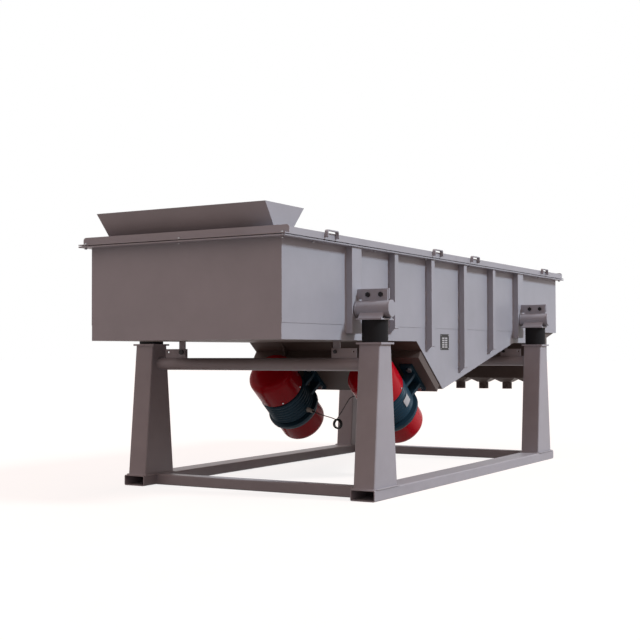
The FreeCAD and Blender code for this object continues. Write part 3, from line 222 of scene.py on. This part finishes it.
# %% materials by the record's slots
FINISH = {
    # grey enamel on rolled tubes; the peel is really about 2 mm wide
    "frame_paint": finish("grey_enamel_on_frame_tube", "9F9EA5", 0.45, cloud_mm=180, cloud=0.1, dust=0.2),
    # the same enamel on the box's sheets
    "box_paint": finish("grey_enamel_on_box_sheet", "A0A3AC", 0.42, cloud_mm=300, cloud=0.1, dust=0.2),
    # the lids and hopper are handled and dusty with powder
    "lid_paint": finish("grey_enamel_on_lid_sheet", "A4A6AE", 0.42, cloud_mm=300, cloud=0.09, dust=0.3),
    # moulded natural rubber with carbon black
    "spring_rubber": finish("moulded_black_rubber", "171618", 0.7, cloud_mm=60, cloud=0.12, grain_mm=4,
                            dust=0.1, shine=0.15),
    # extruded sponge rubber strip
    "gasket_rubber": finish("extruded_sponge_rubber", "262426", 0.8, cloud_mm=40, cloud=0.1, grain_mm=3),
    # bright zinc plating on turned and forged screws
    "zinc_fasteners": finish("bright_zinc_plating", "B9BCBE", 0.34, metal=0.9, cloud_mm=18, cloud=0.1, grain_mm=3),
    # woven stainless cloth, really a 1.2 mm pitch and shown at 6 mm
    "screen_steel": woven("woven_stainless_wire", "C6C8C9", "35363A", 6),
    # brushed flat bars that clamp the cloth
    "clamp_steel": finish("brushed_stainless_bar", "BFC1C3", 0.32, metal=0.95, cloud_mm=90, grain_mm=4,
                          stretch=(0.06, 1, 1), depth_mm=0.04),
    # dark petrol-coloured paint on sand-cast aluminium
    "motor_paint": finish("petrol_paint_on_casting", "1A394A", 0.4, cloud_mm=80, cloud=0.12, grain_mm=3,
                          depth_mm=0.12, dust=0.05, shine=0.14),
    # red gloss enamel on a drawn steel cap
    "cap_red_paint": finish("red_gloss_enamel", "B30B1E", 0.24, cloud_mm=150, cloud=0.05, grain_mm=14,
                            depth_mm=0.03, shine=0.1),
    # stacked and varnished sheets
    "stator_iron": finish("varnished_lamination_stack", "5A4636", 0.5, metal=0.5, grain_mm=1.5, stretch=(8, 1, 1)),
    # ground rolling-bearing steel
    "bearing_steel": finish("ground_bearing_steel", "C9CBCD", 0.18, metal=1.0, cloud_mm=12, cloud=0.05, grain_mm=2),
    # turned steel with fine rings round the shaft
    "shaft_steel": finish("turned_shaft_steel", "A9ABAD", 0.28, metal=1.0, cloud_mm=30, grain_mm=1.5,
                          stretch=(6, 1, 1)),
    # flame-cut plate, brown with oil
    "weight_iron": finish("oiled_flame_cut_plate", "4B4540", 0.5, metal=0.7, cloud_mm=25, cloud=0.2, grain_mm=3),
    # pale moulded nylon
    "gland_plastic": finish("moulded_pale_nylon", "C9CBC6", 0.45, cloud_mm=15, cloud=0.05, grain_mm=2, depth_mm=0.03),
    # black jacket with a faint lengthwise grain
    "cable_rubber": finish("black_cable_jacket", "1A1A1B", 0.5, cloud_mm=30, cloud=0.15, grain_mm=2, depth_mm=0.05),
}
# pale anodised sheet for the motor's bare plate and the blank fields of the side plate
PLATE = finish("anodised_plate", "B4B6B9", 0.5, metal=0.1, cloud_mm=40, cloud=0.04, grain_mm=2, stretch=(1, 1, 0.1))
# black anodised sheet for the bare plate on the side wall
DARK_PLATE = finish("black_anodised_plate", "0C0C0E", 0.4, metal=0.0, cloud_mm=40, cloud=0.05, grain_mm=2)
# the same enamel underneath, painted darker as painted shade: the colour stands for the shadow under the box and the
# motors
SHADE_DARKENED_ENAMEL = finish("grey_enamel_painted_with_shade", "5C5350", 0.5, cloud_mm=140, cloud=0.14, dust=0.1, shine=0.2)
# black oxide on the bolts of the spring seats and travel stops, and on the motors' flange screws
BLACK_OXIDE = finish("black_oxide_bolts", "2B2A2C", 0.45, metal=0.6, cloud_mm=12, cloud=0.15, grain_mm=3)
# as-laid weld, painted over with the frame
BEAD = finish("painted_weld_bead", "A5A4A9", 0.45, cloud_mm=12, cloud=0.12, grain_mm=5, depth_mm=0.3)

for node, obj in NODES.items():
    obj.data.materials.clear()
    obj.data.materials.append(FINISH[SLOT_OF[node]])
for node in ("seat_bolts", "travel_stop_bolts"):
    NODES[node].data.materials[0] = BLACK_OXIDE
# the mount, belly plate and collector under the box take the darker enamel: painted shade for the shadow they lie in
for node in ("motor_mount", "belly_plate", "fines_collector", "collector_spouts"):
    NODES[node].data.materials[0] = SHADE_DARKENED_ENAMEL
print(len(bpy.data.materials), "finishes")

# %% [markdown]
# ## Surface helpers
# A lathe cuts a profile round an axis, a press bends a patch round a barrel, and a fillet runs along a
# path. Each new piece is one of these surfaces computed on a grid, closed and turned outward.


# %% surfaces
def piece(name, parts, body, slot, material=None, smooth=35):
    """One object from several (points, faces) parts, welded, turned outward and riding a CAD body.

    Edges sharper than smooth degrees stay sharp.
    """
    points = np.concatenate([p for p, _ in parts])
    starts = np.cumsum([0] + [len(p) for p, _ in parts])
    faces = [[int(i) + start for i in face] for (_, fs), start in zip(parts, starts) for face in fs]
    mesh = bpy.data.meshes.new(name)
    mesh.from_pydata(points.tolist(), [], faces)
    obj = bpy.data.objects.new(name, mesh)
    bpy.context.scene.collection.objects.link(obj)
    tidy_mesh(mesh, smooth)
    mesh.materials.append(material or FINISH[slot])
    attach(obj, body)
    return obj


def tidy_mesh(mesh, smooth, flat=0.0):
    """Welds double points, joins faces flatter than flat degrees, and turns every face outward."""
    work = bmesh.new()
    work.from_mesh(mesh)
    bmesh.ops.remove_doubles(work, verts=work.verts, dist=1e-6)
    if flat:
        bmesh.ops.dissolve_limit(work, angle_limit=radians(flat), verts=work.verts, edges=work.edges)
    bmesh.ops.recalc_face_normals(work, faces=work.faces)
    work.to_mesh(mesh)
    work.free()
    if "custom_normal" in mesh.attributes:
        mesh.attributes.remove(mesh.attributes["custom_normal"])
    mesh.shade_smooth()
    mesh.set_sharp_from_angle(angle=radians(smooth))


def axes_of(axis, side=None):
    """Three unit vectors: the axis, and two across it, the first of them nearest to side."""
    along = Vector(axis).normalized()
    across = Vector(side or ((0, 0, 1) if abs(along.z) < 0.9 else (1, 0, 0)))
    across = (across - across.dot(along) * along).normalized()
    return np.array(along), np.array(across), np.array(along.cross(across))


def turned(profile, origin, axis, count=64, side=None):
    """Surface of revolution of a closed profile of (station, radius) pairs about an axis through origin.

    Point(i, j) = origin + station(i) x axis + radius(i) x (cos t(j), sin t(j)), with t over a full turn.
    """
    along, one, two = axes_of(axis, side)
    line = np.array(profile, float)
    turn = np.arange(count) * tau / count
    ring = np.cos(turn)[:, None] * one + np.sin(turn)[:, None] * two
    points = np.array(origin) + line[:, 0, None, None] * along + line[:, 1, None, None] * ring[None]
    rows = len(line)
    index = np.arange(rows * count).reshape(rows, count)
    nxt, beside = np.roll(index, -1, 0), np.roll(index, -1, 1)
    both = np.roll(nxt, -1, 1)
    faces = np.stack([index, beside, both, nxt], -1).reshape(-1, 4)
    on_axis = np.isclose(line[:, 1], 0) & np.isclose(np.roll(line[:, 1], -1), 0)
    keep = ~np.repeat(on_axis, count)
    return points.reshape(-1, 3), faces[keep]


def arc(centre, radius, start, end, steps):
    """Points (station, radius) on an arc of a profile, angles in degrees from the station axis."""
    angles = np.radians(np.linspace(start, end, steps + 1))
    return [(centre[0] + radius * cos(a), centre[1] + radius * sin(a)) for a in angles]


def patch(origin, axis, side, stations, angles, low, high, steps=16):
    """A plate bent round an axis: a sector between two radii, from one station to the other."""
    along, one, two = axes_of(axis, side)
    turn = np.radians(np.linspace(*angles, steps + 1))
    ring = np.cos(turn)[:, None] * one + np.sin(turn)[:, None] * two
    rim = [np.array(origin) + s * along + r * ring for s, r in
           ((stations[0], low), (stations[0], high), (stations[1], high), (stations[1], low))]
    points = np.concatenate(rim)
    n = steps + 1
    faces = [(a * n + j, b * n + j, b * n + j + 1, a * n + j + 1)
             for a, b in ((0, 1), (1, 2), (2, 3), (3, 0)) for j in range(steps)]
    ends = [[a * n + j for a in range(4)] for j in (0, steps)]
    return points, faces + ends


def slab(corners, low, high, axis):
    """A flat plate: a closed outline of corners, carried from low to high along an axis."""
    base, lift = np.array(corners, float), np.array(axis, float)
    n = len(base)
    points = np.concatenate([base + low * lift, base + high * lift])
    sides = [(i, (i + 1) % n, n + (i + 1) % n, n + i) for i in range(n)]
    return points, sides + [list(range(n)), list(range(n, 2 * n))]


def bead(start, end, radius, ripple=6 * MM):
    """A weld run between two points: a tube whose radius swells at each ripple, tapering at both ends."""
    run = Vector(end) - Vector(start)
    rows = max(8, int(run.length / ripple) * 2)
    swell, tip = 0.12, 0.4
    line = [(0, 0)]
    for k in range(rows):
        taper = min(1, tip + k / 3, tip + (rows - 1 - k) / 3)
        line.append((run.length * (k + 0.5) / rows, radius * (1 + (swell if k % 2 else -swell)) * taper))
    line.append((run.length, 0))
    return turned(line, start, run, count=8)


def screw(seat, axis, across, high, shank, length, washer=0.0):
    """A hexagon screw head on its seat, with a chamfered top, a shank below and a washer if one is given."""
    radius = across / 2 / cos(pi / 6)
    head = [(washer, 0), (washer, radius), (washer + high * 0.82, radius), (washer + high, radius * 0.86),
            (washer + high, 0)]
    parts = [turned(head, seat, axis, count=6)]
    if shank:
        parts.append(turned([(-length, 0), (-length, shank * 0.85), (-length + shank * 0.3, shank), (washer, shank),
                             (washer, 0)], seat, axis, count=20))
    if washer:
        parts.append(turned([(0, shank), (0, across * 0.62), (washer, across * 0.62), (washer, shank)], seat, axis,
                            count=28))
    return parts


print("surface helpers ready")

# %% [markdown]
# ## Rolled and folded edges
# Square tube comes off the mill with round corners, and folded or cut sheet has an edge that catches the
# light. The CAD solids have sharp edges. A copy of each, with its edges rounded, takes their place.


# %% softened copies of the painted steelwork
def softened(node, width, segments, shortest):
    """The node's own mesh, in the node's place, with its outward edges longer than shortest rounded to a width."""
    source = NODES[node]
    mesh = source.data.copy()
    obj = bpy.data.objects.new(node + "_rounded", mesh)
    bpy.context.scene.collection.objects.link(obj)
    tidy_mesh(mesh, 40, flat=0.4)
    work = bmesh.new()
    work.from_mesh(mesh)
    weight = work.edges.layers.float.new("bevel_weight_edge")
    for edge in work.edges:
        sharp = edge.is_manifold and edge.is_convex and edge.calc_face_angle() > radians(30)
        edge[weight] = float(sharp and edge.calc_length() > shortest)
    work.to_mesh(mesh)
    work.free()
    bevel = obj.modifiers.new("rounded_edges", "BEVEL")
    bevel.width, bevel.segments, bevel.limit_method = width, segments, "WEIGHT"
    bevel.harden_normals = True
    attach(obj, source["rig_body"])
    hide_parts(node)


# (width of the round, segments, shortest edge) and the nodes that have it
EDGES = {
    # mill radius of square and rectangular tube, on the long edges alone
    (8 * MM, 4, 300 * MM): ["base_tube_left", "base_tube_right", "base_cross_tube_feed", "base_cross_tube_discharge",
                            "leg_feed_left", "leg_feed_right", "leg_discharge_left", "leg_discharge_right"],
    # fold radius of sheet and angle
    (2 * MM, 2, 20 * MM): ["side_ribs_left", "side_ribs_right", "spring_brackets_left", "spring_brackets_right",
                           "top_rim", "motor_mount", "feed_lid_handles", "discharge_lid_handles"],
}
for size, names in EDGES.items():
    for node in names:
        softened(node, *size)
print(sum(len(names) for names in EDGES.values()), "nodes softened")

# %% [markdown]
# ## Vibration motors
# Each motor is a cast barrel with cooling ridges and a drawn cap over the eccentric weights at each end.
# The ridges are cast round the barrel and the caps are deep drawn, so both are surfaces of revolution
# about the motor's own axis, which the rotor's joint gives.

# %% caps and cooling ridges
HOUSE_HALF, CAP_LONG, CAP_RADIUS, CAP_WALL, CAP_CORNER = 105 * MM, 180 * MM, 150 * MM, 4 * MM, 44 * MM
RIDGE_LOW, RIDGE_HIGH, RIDGES = 146.5 * MM, 153 * MM, 7
ROUND = 96  # facets round a cap or a barrel
spins = {side: JOINTS[f"rotor_{side}_spin"] for side in ("left", "right")}
motors = {side: (spin["pos_m"], spin["axis"]) for side, spin in spins.items()}


def cap_profile(way):
    """Section of a drawn cap: a wall, a round corner and a slightly domed end."""
    end, outer, inner = HOUSE_HALF + CAP_LONG, CAP_CORNER, CAP_CORNER - CAP_WALL
    dome = 2 * MM
    outside = [(HOUSE_HALF, CAP_RADIUS), *arc((end - dome - outer, CAP_RADIUS - outer), outer, 90, 4, 8),
               (end - dome * 0.4, CAP_RADIUS * 0.5), (end, 0)]
    inside = [(end - CAP_WALL, 0), *arc((end - dome - outer, CAP_RADIUS - outer), inner, 4, 90, 6),
              (HOUSE_HALF, CAP_RADIUS - CAP_WALL)]
    return [(way * s, r) for s, r in outside + inside]


def ridge_profile():
    """Section of the ridged sleeve: equal round-topped ridges over a thin wall."""
    first, last = -HOUSE_HALF + 14 * MM, HOUSE_HALF - 29 * MM
    rows = 12 * RIDGES
    line = [(first + (last - first) * k / rows,
             RIDGE_LOW + (RIDGE_HIGH - RIDGE_LOW) * (0.5 - 0.5 * cos(tau * k * RIDGES / rows)) ** 0.6)
            for k in range(rows + 1)]
    return [(first, RIDGE_LOW - 12 * MM), *line, (last, RIDGE_LOW - 12 * MM)]


for way, end in ((-1, "upper"), (1, "lower")):
    parts = [turned(cap_profile(way), *motors[side], count=ROUND) for side in motors]
    caps = piece(f"drawn_caps_{end}", parts, "screen_box", "cap_red_paint")
    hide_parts(f"motor_caps_{end}")
ridges = [turned(ridge_profile(), *motors[side], count=ROUND) for side in motors]
piece("cooling_ridges", ridges, "screen_box", "motor_paint", smooth=60)

# small screws, evenly spaced, hold each cap to the casting near the cap's mouth
CAP_SCREWS, CAP_SCREW_IN = 6, 14 * MM
cap_screws = []
for side, (centre, axis) in motors.items():
    along, one, two = axes_of(axis)
    for way in (-1, 1):
        for k in range(CAP_SCREWS):
            turn = tau * (k + 0.5) / CAP_SCREWS
            outward = one * cos(turn) + two * sin(turn)
            seat = np.array(centre) + along * way * (HOUSE_HALF + CAP_SCREW_IN) + outward * CAP_RADIUS
            cap_screws += screw(seat, outward, 10 * MM, 4 * MM, 3 * MM, 6 * MM)
piece("cap_screws", cap_screws, "screen_box", "zinc_fasteners")

# the flange's skirt over the lower cap's mouth, and the screws in the flange's face
SKIRT, FLANGE_SCREWS, FLANGE_PITCH = 30 * MM, 8, 163 * MM
skirts, flange_screws = [], []
for side, (centre, axis) in motors.items():
    along, one, two = axes_of(axis)
    foot, mouth, inner = HOUSE_HALF - 2 * MM, HOUSE_HALF + SKIRT, CAP_RADIUS - 1 * MM
    line = [(foot, inner), (foot, 157 * MM), (mouth - 3 * MM, 154 * MM), (mouth, 152 * MM), (mouth, inner)]
    skirts.append(turned(line, centre, axis, count=ROUND))
    for k in range(FLANGE_SCREWS):
        turn = tau * (k + 0.5) / FLANGE_SCREWS
        seat = np.array(centre) + along * HOUSE_HALF + FLANGE_PITCH * (one * cos(turn) + two * sin(turn))
        flange_screws += screw(seat, along, 13 * MM, 6 * MM, 4 * MM, 8 * MM)
piece("flange_skirts", skirts, "screen_box", "motor_paint")
piece("flange_screws", flange_screws, "screen_box", "zinc_fasteners", BLACK_OXIDE)

# a bare rating plate on the outer side of the near motor's barrel
centre, axis = motors["right"]
plate = patch(centre, axis, (0, -1, 0), (-44 * MM, 16 * MM), (-6, 16), RIDGE_HIGH - 1 * MM, RIDGE_HIGH + 1 * MM)
piece("motor_rating_plate", [plate], "screen_box", "clamp_steel", PLATE)
print("motors dressed")

# %% [markdown]
# ## Screws
# Eighteen screws press the lids on the gasket. Each goes through lid, gasket and rim into a nut welded
# under the rim, so the screw leaves with its lid and the nut stays on the box.

# %% lid screws and weld nuts
rim_low, rim_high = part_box("top_rim")
LID_SEAT = 5 * MM  # the screws' seat above the lid's underside
lid_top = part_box("feed_lid")[0][2] + LID_SEAT
rim_under = rim_low[2]
SCREW_Y, END_X, END_Y = 625 * MM, 2065 * MM, 620 * MM
ROWS = {"feed_lid": (-1780, -1110, -440), "discharge_lid": (230, 900, 1570)}
NUT, SHANK = 13 * MM, 4 * MM
NUT_HIGH, NUT_RADIUS = 7 * MM, NUT / 2 / cos(pi / 6)
nuts = []
for lid, stations in ROWS.items():
    way = -1 if lid == "feed_lid" else 1
    spots = [(x * MM, y) for x in stations for y in (-SCREW_Y, SCREW_Y)]
    spots += [(way * END_X, y) for y in (-END_Y, 0, END_Y)]
    heads = []
    for x, y in spots:
        heads += screw((x, y, lid_top), (0, 0, 1), NUT, 5.5 * MM, SHANK, lid_top - rim_under + 9 * MM,
                       washer=1.6 * MM)
        nuts.append(turned([(0, SHANK), (0, NUT_RADIUS), (NUT_HIGH, NUT_RADIUS), (NUT_HIGH, SHANK)],
                           (x, y, rim_under), (0, 0, -1), count=6))
    piece(lid + "_screws", heads, lid, "zinc_fasteners")
piece("rim_weld_nuts", nuts, "screen_box", "zinc_fasteners", FINISH["box_paint"])
print(len(nuts), "lid screws")

# %% [markdown]
# ## Plates, seat ends and welds
# The seat's tube is closed by a disc at each end, with a welded ring round it. The side wall carries a
# riveted plate with blank fields, where such machines have one. Welds are laid by hand as fillets, and keep
# their ripples under the paint.

# %% seat rings, side plate and welds
LEGS = {"feed": -1.345, "discharge": 1.145}
TUBE_Z, TUBE_Y, TUBE_HALF = 1.0, 0.747, 103 * MM
# section of a ring, (station, radius) in millimetres, and how far it starts behind the tube's end
RING, RING_BACK = [(0, 42.5), (0, 46), (6, 46), (7.8, 44.2), (7.8, 42.5)], 8 * MM
for end, x in LEGS.items():
    rings = []
    for sign in (-1, 1):
        for way in (-1, 1):
            face = (x, sign * TUBE_Y + way * (TUBE_HALF - RING_BACK), TUBE_Z)
            rings.append(turned(np.array(RING) * MM, face, (0, way, 0), count=48))
    piece(f"seat_tube_rings_{end}", rings, "screen_box", "box_paint")

skirt_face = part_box("side_plate_right")[0][1] + 2 * MM
label_x, label_z, cut = (-0.175, -0.045), (0.783, 0.882), 5 * MM
LABEL_THICK, RIVET_IN = 1.4 * MM, 8 * MM
outline = [(label_x[0] + cut, label_z[0]), (label_x[1] - cut, label_z[0]), (label_x[1], label_z[0] + cut),
           (label_x[1], label_z[1] - cut), (label_x[1] - cut, label_z[1]), (label_x[0] + cut, label_z[1]),
           (label_x[0], label_z[1] - cut), (label_x[0], label_z[0] + cut)]
label = [slab([(x, skirt_face, z) for x, z in outline], 0, LABEL_THICK, (0, -1, 0))]
rivets = [turned([(0, 0), (0, 3 * MM), (1 * MM, 2.6 * MM), (1.6 * MM, 0)],
                 (x, skirt_face - LABEL_THICK, z), (0, -1, 0), count=16)
          for x in (label_x[0] + RIVET_IN, label_x[1] - RIVET_IN)
          for z in (label_z[0] + RIVET_IN, label_z[1] - RIVET_IN)]
piece("bare_side_plate", label, "screen_box", "clamp_steel", DARK_PLATE)
# two columns of five blank fields
FIELD_WIDE, FIELD_HIGH, FIELD_THICK = 34 * MM, 9 * MM, 0.2 * MM
COLUMNS, FIRST_FIELD, LAST_FIELD, FIELDS = (26 * MM, 70 * MM), 14 * MM, 30 * MM, 5
fields = []
for a in (label_x[0] + column for column in COLUMNS):
    for b in np.linspace(label_z[0] + FIRST_FIELD, label_z[1] - LAST_FIELD, FIELDS):
        corners = ((a, b), (a + FIELD_WIDE, b), (a + FIELD_WIDE, b + FIELD_HIGH), (a, b + FIELD_HIGH))
        fields.append(slab([(x, skirt_face - LABEL_THICK, z) for x, z in corners], 0, FIELD_THICK, (0, -1, 0)))
piece("side_plate_blank_fields", fields, "screen_box", "clamp_steel", PLATE)
piece("side_plate_rivets", rivets, "screen_box", "clamp_steel")

# full-height welds along both edges of each wide channel
WALL_Y, WELD_LOW, WELD_TOP, CHANNEL_HALF = 600 * MM, 875 * MM, 1328 * MM, 54 * MM
welds = []
for sign in (-1, 1):
    for x in LEGS.values():
        for edge in (-CHANNEL_HALF, CHANNEL_HALF):
            welds.append(bead((x + edge, sign * WALL_Y, WELD_LOW), (x + edge, sign * WALL_Y, WELD_TOP), 3 * MM))

# stitch welds along the narrow ribs, from a clearance over the vee's lower edge, (x, z) in metres, to the rim
VEE = ((-2.04, 0.835), (-0.517, 0.835), (-0.141, 0.539), (1.104, 0.835), (1.68, 0.835))
RIB_X, RIB_CLEAR, STITCH, STITCH_PITCH = (-0.89, -0.39, 0.11, 0.61), 75 * MM, 34 * MM, 150 * MM
for sign in (-1, 1):
    for x in RIB_X:
        foot = float(np.interp(x, *zip(*VEE))) + RIB_CLEAR
        for z in np.arange(foot, WELD_TOP - STITCH, STITCH_PITCH):
            welds.append(bead((x, sign * WALL_Y, z), (x, sign * WALL_Y, z + STITCH), 4.5 * MM))
piece("channel_welds", welds, "screen_box", "box_paint", BEAD)

FOOT_WELD_Z = 61 * MM
foot_welds = []
for end, x in LEGS.items():
    for sign in (-1, 1):
        low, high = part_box(f"leg_{end}_{'left' if sign > 0 else 'right'}")
        ring = [(low[0], low[1]), (high[0], low[1]), (high[0], high[1]), (low[0], high[1])]
        foot_welds += [bead((*a, FOOT_WELD_Z), (*b, FOOT_WELD_Z), 3.5 * MM)
                       for a, b in zip(ring, ring[1:] + ring[:1])]
piece("leg_foot_welds", foot_welds, "base_frame", "frame_paint", BEAD)
print(len(welds) + len(foot_welds), "welds")

# %% [markdown]
# ## The motor cable
# A rubber cable hangs from gland to gland under the mount, with its spare length wound in a small coil.
# It is a real cord of about a metre: a spline through the same points as the CAD tube, whose loose turns
# differ a little in size, as hand-wound ones do.

# %% cable, coil and strain reliefs
# the runs' points, in millimetres
LEFT_RUN = [(-433.9, 174.3, 395.8), (-440, 127, 381.5), (-441, 70, 367), (-442, 22, 357), (-442, -13.2, 342.6)]
RIGHT_RUN = [(-418, 14.7, 333.8), (-421, -12, 372), (-431, -50, 418), (-450, -88, 462), (-468, -124, 497),
             (-469.9, -165, 498.8)]
CABLE_WIDE = 6 * MM
# the coil's place, depth and least radius, its swelling, unevenness and sideways wander, in millimetres
COIL_X, COIL_Y, COIL_Z, COIL_DEEP, COIL_RADIUS = -442, -5, 320, 24, 24.6
SWELL, UNEVEN, WANDER = 4.6, 3.0, 1.5
# the coil's first angle, whole turning and step, in degrees
FIRST_TURN, TURNED, STEP = 110, 1365, 15


def coil_points():
    """The coil's turns: radius = 25 + up to 8 mm, swelling toward the middle turn and uneven from turn to turn."""
    found = []
    for k in range(1, TURNED // STEP):
        turn = radians(FIRST_TURN + k * STEP)
        share = k * STEP / TURNED
        radius = COIL_RADIUS + sin(pi * share) * (SWELL + UNEVEN * sin(turn * 0.47 + 0.6))
        x = COIL_X + COIL_DEEP * share + WANDER * sin(pi * share) * sin(turn * 0.5)
        found.append((x, COIL_Y + radius * cos(turn), COIL_Z + radius * sin(turn)))
    return found


route = LEFT_RUN + coil_points() + RIGHT_RUN
line = bpy.data.curves.new("motor_cable", "CURVE")
line.dimensions = "3D"
line.bevel_depth, line.bevel_resolution, line.resolution_u = CABLE_WIDE / 2, 4, 6
line.use_fill_caps = True
spline = line.splines.new("NURBS")
spline.points.add(len(route) - 1)
for point, spot in zip(spline.points, route):
    point.co = (*(v * MM for v in spot), 1)
spline.order_u = 3
spline.use_endpoint_u = True
line.materials.append(FINISH["cable_rubber"])
cable = bpy.data.objects.new("motor_cable", line)
bpy.context.scene.collection.objects.link(cable)
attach(cable, "screen_box")
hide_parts("motor_cable_left", "motor_cable_coil", "motor_cable_right")

reliefs = []
for tip, after in ((route[0], route[1]), (route[-1], route[-2])):
    tip, after = Vector(tip) * MM, Vector(after) * MM
    sleeve = [(-4 * MM, 0), (-4 * MM, 8 * MM), (2 * MM, 8 * MM), (22 * MM, 4.2 * MM), (22 * MM, 0)]
    reliefs.append(turned(sleeve, tip, after - tip, count=24))
relief = piece("cable_strain_reliefs", reliefs, "screen_box", "cable_rubber")
print(len(route), "cable points")

# %% [markdown]
# ## Floor and light
# A plain studio: a white floor that keeps the shadow, a white surround, one broad lamp high on the long
# side and a soft fill that comes mostly from above. The feed end looks away from the lamp and stays in shade.


# %% floor
def seen_rays(tree):
    """1 for rays that show the surround to the eye: straight, in a reflection or through glass."""
    rays = add(tree, "ShaderNodeLightPath", {}).outputs
    seen = rays["Is Camera Ray"]
    for kind in ("Is Glossy Ray", "Is Transmission Ray"):
        seen = add(tree, "ShaderNodeMath", {"operation": "MAXIMUM"}, {0: seen, 1: rays[kind]}).outputs[0]
    return seen


def floor_material():
    """Matt floor that shows as white to the eye outside the shadow, and lights the object like a workshop's."""
    material, tree, place = blank("matt_pale_floor")
    mottle = add(tree, "ShaderNodeTexNoise", {"Scale": 3.0}, {"Vector": place}).outputs[0]
    tone = add(tree, "ShaderNodeMix", {"data_type": "RGBA", 6: linear("857870"), 7: linear("8D8078")},
               {0: mottle}).outputs[2]
    matt = add(tree, "ShaderNodeBsdfDiffuse", {}, {"Color": tone}).outputs[0]
    white = add(tree, "ShaderNodeEmission", {"Strength": 0.84}).outputs[0]
    rays = seen_rays(tree)
    none = add(tree, "ShaderNodeEmission", {"Strength": 0.0}).outputs[0]
    lift = add(tree, "ShaderNodeMixShader", {}, {0: rays, 1: none, 2: white}).outputs[0]
    both = add(tree, "ShaderNodeAddShader", {}, {0: matt, 1: lift}).outputs[0]
    add(tree, "ShaderNodeOutputMaterial", {}, {"Surface": both})
    return material


FLOOR_HALF = 80.0
floor_mesh = bpy.data.meshes.new("studio_floor")
corners = ((-1, -1), (1, -1), (1, 1), (-1, 1))
floor_mesh.from_pydata([(a * FLOOR_HALF, b * FLOOR_HALF, 0) for a, b in corners], [], [(0, 1, 2, 3)])
floor = bpy.data.objects.new("studio_floor", floor_mesh)
bpy.context.scene.collection.objects.link(floor)
floor_mesh.materials.append(floor_material())
floor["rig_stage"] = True
print("floor laid")

# %% light
HORIZON, ZENITH, KEY = 0.22, 0.95, 2.4
LAMP_FROM, LAMP_COLOUR, LAMP_SPREAD = (0.2, -0.85, 0.7), (0.83, 0.92, 1.0), radians(12)
world = bpy.data.worlds.new("studio")
bpy.context.scene.world = world
world.use_nodes = True
tree = world.node_tree
tree.nodes.clear()
toward = add(tree, "ShaderNodeTexCoord", {}).outputs["Generated"]
up = add(tree, "ShaderNodeSeparateXYZ", {}, {0: toward}).outputs["Z"]
level = add(tree, "ShaderNodeMapRange", {"To Min": HORIZON, "To Max": ZENITH}, {"Value": up}).outputs[0]
fill = add(tree, "ShaderNodeBackground", {"Color": linear("FFDCD2")}, {"Strength": level}).outputs[0]
white = add(tree, "ShaderNodeBackground", {"Color": linear("FFFFFF"), "Strength": 1.0}).outputs[0]
mixed = add(tree, "ShaderNodeMixShader", {}, {0: seen_rays(tree), 1: fill, 2: white}).outputs[0]
add(tree, "ShaderNodeOutputWorld", {}, {"Surface": mixed})

lamp = bpy.data.objects.new("key_lamp", bpy.data.lights.new("key_lamp", "SUN"))
lamp.data.energy = KEY
lamp.data.angle = LAMP_SPREAD
lamp.data.color = LAMP_COLOUR
lamp.matrix_world = Vector(LAMP_FROM).to_track_quat("Z", "Y").to_matrix().to_4x4()
bpy.context.scene.collection.objects.link(lamp)
lamp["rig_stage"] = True
bpy.context.scene.view_settings.view_transform = "Standard"
print("light set")

# %% the scene's size
low, high = (list(corner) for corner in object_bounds())
print("scene box", [round(v, 4) for v in low], [round(v, 4) for v in high])
